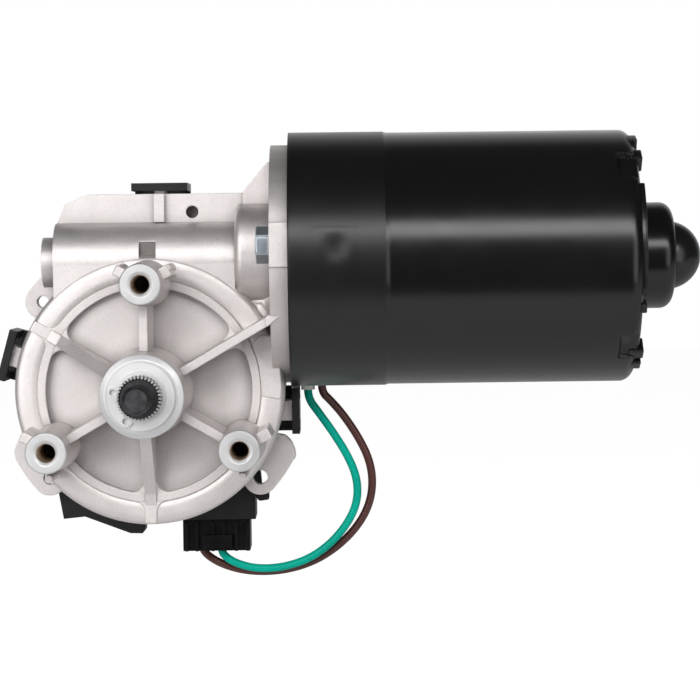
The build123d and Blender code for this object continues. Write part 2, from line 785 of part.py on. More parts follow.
segment_gap = 0.6
segment_gap_depth = 1.5
riser_height = 1.4
riser_gap = 1.2
riser_thick = 2.2
with BuildPart() as commutator:
    with BuildSketch(motor_plane(commutator_left_x)):
        Circle(commutator_r)
        Circle(arbor_r, mode=Mode.SUBTRACT)
        with PolarLocations(commutator_r, slot_count, start_angle=180 / slot_count):
            Rectangle(2 * segment_gap_depth, segment_gap, mode=Mode.SUBTRACT)
    extrude(amount=commutator_right_x - commutator_left_x)
    with BuildSketch(motor_plane(commutator_right_x)):
        Circle(commutator_r + riser_height)
        Circle(arbor_r, mode=Mode.SUBTRACT)
        with PolarLocations(commutator_r + riser_height, slot_count, start_angle=180 / slot_count):
            Rectangle(2 * (riser_height + riser_gap), riser_gap, mode=Mode.SUBTRACT)
    extrude(amount=riser_thick)
commutator.part.label = "commutator"
export_step(commutator.part, "parts/commutator.step")

# ---------------------------------------------------------------- armature bearings
with BuildPart() as drive_bush:
    with BuildSketch(motor_plane(bush_left_x)):
        Circle(bearing_seat_r)
        Circle(arbor_r + running_clearance, mode=Mode.SUBTRACT)
    extrude(amount=bush_right_x - bush_left_x)
drive_bush.part.label = "drive_bush"
export_step(drive_bush.part, "parts/drive_bush.step")

worm_bush_left_x = left_journal_x + 2.6
worm_bush_length = 6.0
with BuildPart() as worm_bush:
    with BuildSketch(motor_plane(worm_bush_left_x)):
        Circle(tunnel_bore_r)
        Circle(left_journal_r + running_clearance, mode=Mode.SUBTRACT)
    extrude(amount=worm_bush_length)
worm_bush.part.label = "worm_bush"
export_step(worm_bush.part, "parts/worm_bush.step")

screw_left_x = tunnel_left_x - end_boss_length + 0.6
screw_right_x = left_journal_x - assembly_gap
screw_socket_r = 1.7
screw_socket_depth = 1.8
with BuildPart() as thrust_screw:
    with BuildSketch(motor_plane(screw_left_x)):
        Circle(screw_r)
    extrude(amount=screw_right_x - screw_left_x)
    with BuildSketch(motor_plane(screw_left_x)):
        RegularPolygon(screw_socket_r, 6)
    extrude(amount=screw_socket_depth, mode=Mode.SUBTRACT)
thrust_screw.part.label = "thrust_screw"
export_step(thrust_screw.part, "parts/thrust_screw.step")

ball_r = 8.0
ball_x = can_end_x + 5.0
ball_half = 5.2
ball_end_r = math.sqrt(ball_r ** 2 - ball_half ** 2)
with BuildPart() as end_bush:
    with BuildSketch(Plane.XY.offset(worm_height)):
        with BuildLine():
            sphere_arc = ThreePointArc((ball_x - ball_half, worm_depth + ball_end_r),
                                       (ball_x, worm_depth + ball_r),
                                       (ball_x + ball_half, worm_depth + ball_end_r))
            Polyline(sphere_arc @ 1, (ball_x + ball_half, worm_depth + tail_r + running_clearance),
                     (ball_x - ball_half, worm_depth + tail_r + running_clearance), sphere_arc @ 0)
        make_face()
    revolve(axis=motor_axis)
end_bush.part.label = "end_bush"
export_step(end_bush.part, "parts/end_bush.step")

# ---------------------------------------------------------------- motor can
cup_inner_r = cup_r - can_wall
cup_mouth_r = tail_r + 1.5
mouth_bend = 0.4
cup_bend = 1.2
with BuildPart() as motor_can:
    with BuildSketch(Plane.XY.offset(worm_height)):
        with BuildLine():
            outer = FilletPolyline((can_left_x, worm_depth + mouth_r),
                                   (can_left_x + mouth_length, worm_depth + mouth_r),
                                   (can_left_x + mouth_length + 1, worm_depth + can_r),
                                   (can_end_x, worm_depth + can_r), (can_end_x, worm_depth + cup_r),
                                   (cup_end_x, worm_depth + cup_r), (cup_end_x, worm_depth + cup_mouth_r),
                                   radius=[mouth_bend, mouth_bend, can_corner_r, cup_bend, cup_corner_r])
            inner = FilletPolyline((cup_end_x - can_wall, worm_depth + cup_mouth_r),
                                   (cup_end_x - can_wall, worm_depth + cup_inner_r),
                                   (can_end_x - can_wall, worm_depth + cup_inner_r),
                                   (can_end_x - can_wall, worm_depth + can_inner_r),
                                   (can_left_x, worm_depth + can_inner_r),
                                   radius=[cup_corner_r - can_wall, cup_bend, can_corner_r - can_wall])
            Line(outer @ 1, inner @ 0)
            Line(inner @ 1, outer @ 0)
        make_face()
    revolve(axis=motor_axis)
    # staking windows in the corner of the closed end
    with BuildSketch(motor_plane(can_end_x)):
        with PolarLocations(can_r, 4, start_angle=45):
            Rectangle(2 * window_depth, window_width)
    extrude(amount=-window_length, mode=Mode.SUBTRACT)
    # notch in the mouth for the lead grommet
    with BuildSketch(motor_plane(can_left_x)):
        with Locations((lead_notch_y, -can_r + 2 * can_wall)):
            Rectangle(lead_notch_width, lead_notch_length)
    extrude(amount=lead_notch_length, mode=Mode.SUBTRACT)
    # pressed dimples that hold the bolt anchors
    for side in (-1, 1):
        with BuildSketch(Plane.XZ.offset(-worm_depth - side * (mouth_r - dimple_depth))):
            with Locations((dimple_x, worm_height - side * (bolt_lift + dimple_lift))):
                RectangleRounded(dimple_length, dimple_height, dimple_corner_r)
        extrude(amount=-side * 2 * can_wall, mode=Mode.SUBTRACT)
motor_can.part.label = "motor_can"
export_step(motor_can.part, "parts/motor_can.step")

nose_centre_x = nose_tip_x - nose_base_r
nose_dome_angle = math.degrees(math.acos((cup_end_x - nose_centre_x) / nose_base_r))
nose_plug_r = cup_mouth_r - assembly_gap
with BuildPart() as nose_cap:
    with BuildSketch(Plane.XY.offset(worm_height)):
        with BuildLine():
            dome = CenterArc((nose_centre_x, worm_depth), nose_base_r, 0, nose_dome_angle)
            Polyline(dome @ 0, (cup_end_x - can_wall, worm_depth),
                     (cup_end_x - can_wall, worm_depth + nose_plug_r),
                     (cup_end_x, worm_depth + nose_plug_r), dome @ 1)
        make_face()
    revolve(axis=motor_axis)
nose_cap.part.label = "nose_cap"
export_step(nose_cap.part, "parts/nose_cap.step")

retainer_thick = 0.7
retainer_foot_x = ball_x - 6.1
retainer_lip_x = ball_x - 3.5
retainer_lip_r = ball_r - 0.4
retainer_foot_r = cup_inner_r - 0.05
retainer_slots = 8
retainer_slot_length = 5.0
retainer_slot_width = 1.2
with BuildPart() as bearing_retainer:
    with BuildSketch(Plane.XY.offset(worm_height)):
        with BuildLine():
            Polyline((retainer_foot_x, worm_depth + retainer_foot_r),
                     (retainer_lip_x, worm_depth + retainer_lip_r),
                     (retainer_lip_x - retainer_thick, worm_depth + retainer_lip_r - 0.4),
                     (retainer_foot_x - retainer_thick, worm_depth + retainer_foot_r), close=True)
        make_face()
    revolve(axis=motor_axis)
    with BuildSketch(motor_plane(ball_x - ball_r)):
        with PolarLocations(ball_r - 1, retainer_slots):
            Rectangle(retainer_slot_length, retainer_slot_width)
    extrude(amount=2 * retainer_lip_r, mode=Mode.SUBTRACT)
bearing_retainer.part.label = "bearing_retainer"
export_step(bearing_retainer.part, "parts/bearing_retainer.step")

# ---------------------------------------------------------------- field magnets
magnet_span = 140
magnet_outer_r = can_inner_r - assembly_gap / 2
for magnet_name, magnet_angle in (("front_magnet", 180), ("rear_magnet", 0)):
    with BuildPart() as magnet:
        with BuildSketch(motor_plane(magnet_left_x)):
            with BuildLine():
                outer_arc = CenterArc((0, 0), magnet_outer_r, magnet_angle - magnet_span / 2, magnet_span)
                inner_arc = CenterArc((0, 0), magnet_outer_r - magnet_thick,
                                      magnet_angle - magnet_span / 2, magnet_span)
                Line(outer_arc @ 0, inner_arc @ 0)
                Line(outer_arc @ 1, inner_arc @ 1)
            make_face()
        extrude(amount=magnet_right_x - magnet_left_x)
    magnet.part.label = magnet_name
    export_step(magnet.part, f"parts/{magnet_name}.step")

spring_span = 34
spring_thick = 0.8
spring_inset = 4.0
spring_foot = 4.0
spring_foot_r = magnet_outer_r - 2.4
with BuildPart() as magnet_springs:
    with BuildSketch(motor_plane(magnet_left_x + spring_inset)):
        for spring_angle in (90, 270):
            with BuildLine():
                spring_arc = CenterArc((0, 0), magnet_outer_r, spring_angle - spring_span / 2, spring_span)
                spring_inner = CenterArc((0, 0), magnet_outer_r - spring_thick,
                                         spring_angle - spring_span / 2, spring_span)
                Line(spring_arc @ 0, spring_inner @ 0)
                Line(spring_arc @ 1, spring_inner @ 1)
            make_face()
            for side in (-1, 1):
                foot_angle = spring_angle + side * (spring_span / 2 - 1)
                with Locations(Location((*on_circle(spring_foot_r, foot_angle), 0), foot_angle)):
                    Rectangle(spring_foot, spring_thick)
    extrude(amount=magnet_right_x - magnet_left_x - 2 * spring_inset)
magnet_springs.part.label = "magnet_springs"
export_step(magnet_springs.part, "parts/magnet_springs.step")

# ---------------------------------------------------------------- brush gear
brush_x = (commutator_left_x + commutator_right_x) / 2 - 1
brush_end_r = commutator_r + assembly_gap
holder_inner_r = commutator_r + 2
holder_outer_r = 29.0
brush_play = 0.05
brush_places = {"common": 90, "low": 270, "high": 210}
wire_thick = 0.35
wire_half_width = 1.9
wire_height = 3.0
coil_count = 4


def brush_plane(station, angle):
    """Plane across the motor whose local x runs outwards along a brush."""
    turn = math.radians(angle)
    return Plane(origin=(station, worm_depth, worm_height), x_dir=(0, math.cos(turn), math.sin(turn)),
                 z_dir=(1, 0, 0))


with BuildPart() as brush_plate:
    with BuildSketch(motor_plane(brush_plate_x)):
        Circle(can_inner_r - assembly_gap)
        Circle(commutator_r - 3, mode=Mode.SUBTRACT)
        with Locations((lead_notch_y, -can_inner_r + spigot_wall / 2)):
            Rectangle(lead_notch_width + 2 * assembly_gap, lead_notch_length, mode=Mode.SUBTRACT)
        for side in (-1, 1):
            with Locations((side * bolt_offset_y, -side * bolt_lift)):
                Circle(bolt_r + plate_gap, mode=Mode.SUBTRACT)
    extrude(amount=brush_plate_thick)
brush_plate.part.label = "brush_plate"
export_step(brush_plate.part, "parts/brush_plate.step")

for place, angle in brush_places.items():
    with BuildPart() as brush_holder:
        with BuildSketch(brush_plane(brush_plate_x + brush_plate_thick, angle)):
            with Locations(((holder_inner_r + holder_outer_r) / 2, 0)):
                Rectangle(holder_outer_r - holder_inner_r, brush_width + 2 * (holder_wall + brush_play))
        extrude(amount=brush_x + brush_height / 2 + holder_wall - brush_plate_x - brush_plate_thick)
        with BuildSketch(brush_plane(brush_x - brush_height / 2 - brush_play, angle)):
            with Locations(((holder_inner_r + holder_outer_r) / 2 - holder_wall, 0)):
                Rectangle(holder_outer_r - holder_inner_r, brush_width + 2 * brush_play)
        extrude(amount=brush_height + 2 * brush_play, mode=Mode.SUBTRACT)
    brush_holder.part.label = f"brush_holder_{place}"
    export_step(brush_holder.part, f"parts/brush_holder_{place}.step")

    with BuildPart() as brush:
        with BuildSketch(brush_plane(brush_x - brush_height / 2, angle)):
            with Locations((brush_end_r + brush_length / 2 - 0.5, 0)):
                Rectangle(brush_length, brush_width)
            Circle(brush_end_r, mode=Mode.SUBTRACT)
        extrude(amount=brush_height)
    brush.part.label = f"brush_{place}"
    export_step(brush.part, f"parts/brush_{place}.step")

    with BuildPart() as brush_spring:
        coil_start_r = brush_end_r + brush_length - 0.3
        coil_step = (holder_outer_r - holder_wall - wire_thick - coil_start_r) / coil_count
        coil_points = [(coil_start_r + coil * coil_step, (-1) ** (coil + 1) * wire_half_width)
                       for coil in range(coil_count + 1)]
        with BuildSketch(brush_plane(brush_x - wire_height / 2, angle)):
            with BuildLine():
                Polyline(*coil_points)
            trace(line_width=wire_thick)
        extrude(amount=wire_height)
    brush_spring.part.label = f"brush_spring_{place}"
    export_step(brush_spring.part, f"parts/brush_spring_{place}.step")

choke_turns = 6
choke_pitch = 1.6
choke_core_r = 2.2
choke_coil_r = 3.1
choke_lead = 1.0
choke_pitch_r = 25.5
choke_left_x = brush_plate_x + brush_plate_thick
for choke_name, choke_angle in (("choke_low", 135), ("choke_high", 45)):
    choke_centre = on_circle(choke_pitch_r, choke_angle)
    with BuildPart() as choke:
        with BuildSketch(motor_plane(choke_left_x)):
            with Locations(choke_centre):
                Circle(choke_core_r)
        extrude(amount=choke_turns * choke_pitch + 3 * choke_lead)
        for choke_turn in range(choke_turns):
            with BuildSketch(motor_plane(choke_left_x + choke_lead + choke_turn * choke_pitch)):
                with Locations(choke_centre):
                    Circle(choke_coil_r)
            extrude(amount=choke_pitch * 0.75)
    choke.part.label = choke_name
    export_step(choke.part, f"parts/{choke_name}.step")

# ---------------------------------------------------------------- flange bolts and anchors
bolt_tip = 1.0
anchor_height = 11.0
anchor_inner_r = bolt_offset_y - anchor_thick
anchor_outer_r = can_inner_r - 1
with BuildPart() as flange_bolts:
    with BuildSketch(station_plane(flange_left_x)):
        with Locations(*bolt_places):
            RegularPolygon(bolt_head_flats / 2, 6, major_radius=False, rotation=30)
    extrude(amount=-bolt_head_height)
    with BuildSketch(station_plane(flange_left_x)):
        with Locations(*bolt_places):
            Circle(bolt_r)
    extrude(amount=anchor_x + anchor_thick + bolt_tip - flange_left_x)
flange_bolts.part.label = "flange_bolts"
export_step(flange_bolts.part, "parts/flange_bolts.step")

for anchor_name, side in (("front_anchor", -1), ("rear_anchor", 1)):
    with BuildPart() as anchor:
        with BuildSketch(motor_plane(anchor_x)):
            with Locations((side * (anchor_inner_r + anchor_outer_r) / 2, -side * bolt_lift)):
                Rectangle(anchor_outer_r - anchor_inner_r, anchor_height)
            Circle(magnet_outer_r, mode=Mode.INTERSECT)
            with Locations((side * bolt_offset_y, -side * bolt_lift)):
                Circle(bolt_r + running_clearance, mode=Mode.SUBTRACT)
        extrude(amount=anchor_thick)
    anchor.part.label = anchor_name
    export_step(anchor.part, f"parts/{anchor_name}.step")

# ---------------------------------------------------------------- gasket and rear cover
with BuildPart() as cover_gasket:
    with BuildSketch(depth_plane(case_rear_y)):
        add(cover_outline(gasket_inset))
        add(cover_outline(gasket_inset + gasket_width), mode=Mode.SUBTRACT)
    extrude(amount=case_rear_y - cover_front_y)
cover_gasket.part.label = "cover_gasket"
export_step(cover_gasket.part, "parts/cover_gasket.step")

shroud_left_x = 5.6
shroud_right_x = 28.3
shroud_bottom_z = -case_r - 1.5
shroud_top_z = -case_r + 7.7
shroud_front_y = cover_front_y
shroud_rear_y = shroud_front_y + 14
shroud_wall = 1.6
shroud_root = 6.0
plug_fit = 0.15
plug_top_z = shroud_bottom_z - 0.2
plug_bottom_z = plug_top_z - plug_height
hook_front_y = cover_front_y + 1.3
hook_rear_y = hook_front_y + 6
hook_outline = [(-28.9, 7.1), (-27.5, -0.9), (-21.3, -0.3), (-8.2, -5.3), (-4.7, -5.4),
                (-3.8, -4.4), (-3.8, 1.7), (-16, 9.7), (-28.9, 13.7)]
plateau_r = 22.0
plateau_rise = 1.6
plateau_draft = 20
stiffener_count = 6
stiffener_length = 12.0
stiffener_width = 1.4
stiffener_rise = 1.1
stiffener_r = plateau_r + stiffener_length / 2 - 0.5
stiffener_angle = 15
with BuildPart() as rear_cover:
    with BuildSketch(depth_plane(cover_front_y)):
        add(cover_outline(cover_inset))
    extrude(amount=cover_front_y - cover_rear_y + cover_step)
    with BuildSketch(depth_plane(cover_rear_y - cover_step)):
        add(cover_outline(cover_inset + cover_step))
    extrude(amount=-cover_step)
    with BuildSketch(depth_plane(cover_rear_y)):
        Circle(plateau_r)
    extrude(amount=-plateau_rise, taper=plateau_draft)
    with BuildSketch(depth_plane(cover_rear_y)):
        with PolarLocations(stiffener_r, stiffener_count, start_angle=stiffener_angle):
            Rectangle(stiffener_length, stiffener_width)
    extrude(amount=-stiffener_rise)
    # connector shroud, open downwards
    with BuildSketch(Plane.XY.offset(shroud_bottom_z)):
        with Locations(((shroud_left_x + shroud_right_x) / 2, (shroud_front_y + shroud_rear_y) / 2)):
            Rectangle(shroud_right_x - shroud_left_x, shroud_rear_y - shroud_front_y)
    extrude(amount=shroud_top_z - shroud_bottom_z)
    with BuildSketch(Plane.XY.offset(shroud_top_z)):
        with Locations(((shroud_left_x + shroud_right_x) / 2, (shroud_front_y + shroud_rear_y) / 2)):
            Rectangle(shroud_right_x - shroud_left_x, shroud_rear_y - shroud_front_y)
    extrude(amount=shroud_root)
    # lower hook and cable rest
    with BuildSketch(depth_plane(hook_rear_y)):
        with BuildLine():
            Polyline(*[(across, height - case_r) for across, height in hook_outline], close=True)
        make_face()
    extrude(amount=hook_rear_y - hook_front_y)
    # hollow inside
    with BuildSketch(depth_plane(cover_front_y)):
        add(cover_outline(cover_wall + cover_inset))
    extrude(amount=cover_front_y - cover_rear_y + cover_wall, mode=Mode.SUBTRACT)
    with BuildSketch(Plane.XY.offset(shroud_bottom_z)):
        with Locations(((shroud_left_x + shroud_right_x) / 2, (shroud_front_y + shroud_rear_y) / 2)):
            Rectangle(shroud_right_x - shroud_left_x - 2 * shroud_wall,
                      shroud_rear_y - shroud_front_y - 2 * shroud_wall)
    extrude(amount=shroud_top_z - shroud_bottom_z - shroud_wall, mode=Mode.SUBTRACT)
    # latch clips: arms run forward from the cover and a bar joins them
    for (clip_x, clip_z), clip_angle, clip_span, lug_span in clip_places:
        with BuildSketch(depth_plane(clip_bar_y + clip_thick / 2)):
            with Locations(Location((clip_x, clip_z, 0), clip_angle)):
                Rectangle(clip_thick, clip_span)
        extrude(amount=clip_thick)
        with BuildSketch(depth_plane(cover_front_y + clip_foot)):
            with Locations(Location((clip_x, clip_z, 0), clip_angle)):
                for side in (-1, 1):
                    with Locations((0, side * (clip_span - clip_thick) / 2)):
                        Rectangle(clip_thick, clip_thick)
        extrude(amount=cover_front_y + clip_foot - clip_bar_y)
        back_x, back_z = on_circle(clip_thick, clip_angle)
        with BuildSketch(depth_plane(cover_front_y + clip_foot)):
            with Locations(Location((clip_x - back_x, clip_z - back_z, 0), clip_angle)):
                Rectangle(3 * clip_thick, clip_span)
        extrude(amount=clip_foot)
    # room for the casting and its ears in front of the joint face
    with BuildSketch(depth_plane(cover_front_y)):
        Circle(case_r + cover_inset)
        add(ear_lobe(cover_inset))
    extrude(amount=cover_front_y - clip_bar_y, mode=Mode.SUBTRACT)
rear_cover.part.label = "rear_cover"
export_step(rear_cover.part, "parts/rear_cover.step")

# ---------------------------------------------------------------- park switch and connector
carrier_front_y = cover_front_y + 5.8
carrier_x = 13.0
carrier_z = -21.5
carrier_width = 16.6
carrier_height = 10.0
with BuildPart() as terminal_carrier:
    with BuildSketch(depth_plane(carrier_front_y)):
        with Locations((carrier_x, carrier_z)):
            Rectangle(carrier_width, carrier_height)
    extrude(amount=carrier_front_y - cover_rear_y + cover_wall)
terminal_carrier.part.label = "terminal_carrier"
export_step(terminal_carrier.part, "parts/terminal_carrier.step")

finger_thick = 0.35
finger_width = 1.8
finger_pitch = 5.0
disc_face_y = wheel_rear_y + disc_thick + assembly_gap
for finger in (1, 2, 3):
    finger_x = carrier_x + (finger - 2) * finger_pitch
    with BuildPart() as contact_finger:
        finger_plane = Plane(origin=(finger_x, 0, 0), x_dir=(0, 0, 1), z_dir=(-1, 0, 0))
        with BuildSketch(finger_plane):
            with BuildLine():
                Polyline((carrier_z - 2.5, carrier_front_y - finger_thick / 2),
                         (carrier_z + 4.5, carrier_front_y - finger_thick / 2),
                         (carrier_z + 7.5, disc_face_y + 1.2),
                         (carrier_z + 9.0, disc_face_y + 0.6 * finger_thick),
                         (carrier_z + 10.5, disc_face_y + 1.0))
            trace(line_width=finger_thick)
        extrude(amount=finger_width / 2, both=True)
    contact_finger.part.label = f"contact_finger_{finger}"
    export_step(contact_finger.part, f"parts/contact_finger_{finger}.step")

pin_pitch = 4.6
pin_count = 4
pin_width = 2.2
pin_thick = 0.8
pin_play = 0.2
pin_seat_depth = 4.0
pin_centre_x = (plug_left_x + plug_right_x) / 2
pin_centre_y = (plug_front_y + plug_rear_y) / 2
plug_insert_top_z = shroud_top_z - 3
with BuildPart() as connector_pins:
    with BuildSketch(Plane.XY.offset(plug_insert_top_z + 2 * plug_fit)):
        with Locations((pin_centre_x, pin_centre_y)):
            with GridLocations(pin_pitch, 0, pin_count, 1):
                Rectangle(pin_width, pin_thick)
    extrude(amount=shroud_top_z - shroud_wall - plug_insert_top_z - 2 * plug_fit)
connector_pins.part.label = "connector_pins"
export_step(connector_pins.part, "parts/connector_pins.step")

# leads, as runs joined by tangent arcs; both leave the grommet and end in the plug
teal_route = [(44.0, 47.0, -1.6), (44.0, 47.0, -4.2), (46.9, 47.7, -8.2), (51.2, 48.6, -14.4),
              (55.3, 49.6, -21.2), (57.9, 50.5, -27.8), (58.0, 51.3, -34.6), (55.2, 52.0, -41.0),
              (50.0, 52.6, -47.2), (43.4, 53.0, -51.8), (35.4, 53.4, -54.2), (28.0, 53.7, -54.4),
              (22.4, 53.9, -52.9), (19.1, 54.0, -50.9), (17.8, 54.0, -48.7), (17.8, 54.0, -46.2)]
brown_route = [(48.0, 49.6, -0.4), (48.0, 49.6, -2.6), (50.4, 50.2, -5.0), (54.0, 51.1, -9.2),
               (58.2, 52.2, -15.6), (61.5, 53.3, -22.4), (62.6, 54.2, -29.4), (61.4, 54.9, -36.4),
               (57.6, 55.4, -43.0), (51.4, 55.8, -49.0), (43.8, 56.1, -53.4), (34.9, 56.3, -55.6),
               (26.0, 56.4, -55.6), (19.0, 56.4, -53.8), (14.3, 56.3, -51.2), (12.1, 56.3, -48.7),
               (12.1, 56.3, -46.2)]
runs_share = 0.45
plug_cavity_depth = teal_route[-1][2] - plug_bottom_z


def lead_path(route):
    """Runs joined by tangent arcs, each arc as large as its shorter run allows."""
    points = [Vector(*point) for point in route]
    radii = []
    for before, corner, after in zip(points, points[1:], points[2:]):
        turn = (corner - before).get_angle(after - corner)
        shorter = min((corner - before).length, (after - corner).length)
        radii.append(runs_share * shorter / math.tan(math.radians(turn / 2)))
    print("lead radii", [round(radius, 1) for radius in radii])
    with BuildLine(mode=Mode.PRIVATE) as path:
        FilletPolyline(*points, radius=radii)
    return path.line.wires()[0]


for lead_name, route in (("lead_teal", teal_route), ("lead_brown", brown_route)):
    path = lead_path(route)
    with BuildPart() as lead:
        with BuildSketch(Plane(origin=path @ 0, z_dir=path % 0)):
            Circle(lead_r)
        sweep(path=path)
    section_area = math.pi * lead_r ** 2
    print(lead_name, "length", round(path.length, 2), "volume ratio",
          round(lead.part.volume / section_area / path.length, 5))
    lead.part.label = lead_name
    export_step(lead.part, f"parts/{lead_name}.step")

grommet_top_z = worm_height - can_inner_r + 4
grommet_bottom_z = 0.4
grommet_sleeve = 0.8
with BuildPart() as lead_grommet:
    with BuildSketch(Plane.XY.offset(grommet_bottom_z)):
        with Locations((flange_right_x + lead_notch_length / 2, worm_depth + lead_notch_y)):
            Rectangle(lead_notch_length - assembly_gap, lead_notch_width - assembly_gap)
    extrude(amount=grommet_top_z - grommet_bottom_z)
    for start in (teal_route[0], brown_route[0]):
        with BuildSketch(Plane(origin=start, z_dir=(0, 0, 1))):
            Circle(lead_r + grommet_sleeve)
        extrude(amount=grommet_bottom_z - start[2])
lead_grommet.part.label = "lead_grommet"
export_step(lead_grommet.part, "parts/lead_grommet.step")

plug_rib_places = (8.2, 11.2, 15.8, 19.0, 22.6, 25.9)
plug_rib_width = 0.9
plug_rib_depth = 1.2
plug_rib_drop = 0.6
latch_x = 17.2
latch_width = 8.4
latch_depth = 2.4
latch_lift = 1.0
latch_height = 3.8
cavity_width = 4.4
cavity_depth = 3.6
insert_width = shroud_right_x - shroud_left_x - 2 * shroud_wall - 2 * plug_fit
insert_depth = shroud_rear_y - shroud_front_y - 2 * shroud_wall - 2 * plug_fit
with BuildPart() as motor_plug:
    with BuildSketch(Plane.XY.offset(plug_bottom_z)):
        with Locations((pin_centre_x, pin_centre_y)):
            Rectangle(plug_right_x - plug_left_x, plug_rear_y - plug_front_y)
    extrude(amount=plug_height)
    with BuildSketch(Plane.XY.offset(plug_top_z)):
        with Locations(((shroud_left_x + shroud_right_x) / 2, (shroud_front_y + shroud_rear_y) / 2)):
            Rectangle(insert_width, insert_depth)
    extrude(amount=plug_insert_top_z - plug_top_z)
    # front face: ribs and the latch tongue
    for rib_x in plug_rib_places:
        with BuildSketch(Plane.XY.offset(plug_bottom_z)):
            with Locations((rib_x, plug_front_y - 0.5)):
                Rectangle(plug_rib_width, plug_rib_depth)
        extrude(amount=plug_height - plug_rib_drop)
    with BuildSketch(Plane.XY.offset(plug_bottom_z + latch_lift)):
        with Locations((latch_x, plug_front_y - latch_lift)):
            Rectangle(latch_width, latch_depth)
    extrude(amount=latch_height)
    # cavities where the leads enter
    with BuildSketch(Plane.XY.offset(plug_bottom_z)):
        with Locations(teal_route[-1][:2], brown_route[-1][:2]):
            Rectangle(cavity_width, cavity_depth)
    extrude(amount=plug_cavity_depth, mode=Mode.SUBTRACT)
    with BuildSketch(Plane.XY.offset(plug_insert_top_z)):
        with Locations((pin_centre_x, pin_centre_y)):
            with GridLocations(pin_pitch, 0, pin_count, 1):
                Rectangle(pin_width + 2 * pin_play, pin_thick + 2 * pin_play)
    extrude(amount=-pin_seat_depth, mode=Mode.SUBTRACT)
motor_plug.part.label = "motor_plug"
export_step(motor_plug.part, "parts/motor_plug.step")
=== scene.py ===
"""Dresses the wiper motor: camera, studio, leads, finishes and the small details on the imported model."""

import json
import logging
import math
from dataclasses import dataclass, field, replace
from enum import Enum

import bmesh
import bpy
import numpy as np
from mathutils import Matrix, Vector


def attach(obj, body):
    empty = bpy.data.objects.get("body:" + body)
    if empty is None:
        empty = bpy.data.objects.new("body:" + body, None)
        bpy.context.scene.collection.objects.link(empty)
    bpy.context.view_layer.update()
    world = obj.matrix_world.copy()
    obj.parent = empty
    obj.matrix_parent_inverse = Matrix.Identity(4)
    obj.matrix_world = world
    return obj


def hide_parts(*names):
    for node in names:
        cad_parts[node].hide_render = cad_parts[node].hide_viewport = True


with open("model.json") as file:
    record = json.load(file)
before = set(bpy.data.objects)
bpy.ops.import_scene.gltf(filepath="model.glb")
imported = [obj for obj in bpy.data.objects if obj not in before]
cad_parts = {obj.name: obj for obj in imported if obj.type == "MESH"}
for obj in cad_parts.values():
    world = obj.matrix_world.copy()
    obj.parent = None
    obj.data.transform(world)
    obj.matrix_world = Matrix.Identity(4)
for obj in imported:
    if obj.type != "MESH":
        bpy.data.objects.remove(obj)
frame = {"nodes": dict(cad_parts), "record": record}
log = logging.getLogger("wiper_motor")

MM = 0.001
FULL_TURN = 2.0 * math.pi
MOTOR_Y = 36.0 * MM
MOTOR_Z = 36.0 * MM
# How far from the tip the second ring of an eased edge is, as a share of the edge.
NEAR_TIP = 0.3
Socket = bpy.types.NodeSocket
Inputs = dict[str | int, object]
Colour = tuple[float, float, float]
Point = tuple[float, float, float]
Span = tuple[float, float]
Outline = tuple[Span, ...]
Faces = list[list[int]]
Surface = tuple[np.ndarray, Faces]


class Body(Enum):
    """The bodies that the new pieces ride on."""

    HOUSING = "housing"
    OUTPUT = "output"


class Facing(Enum):
    """A raised block's axis, as the order in which its across, along and up become X, Y and Z."""

    FRONT = (0, 1, 2)
    END = (1, 0, 2)


class Texture(Enum):
    """What kind of surface a finish has."""

    GRAINY = "grainy"
    TURNED = "turned"
    LAYERED = "layered"
    WOUND = "wound"


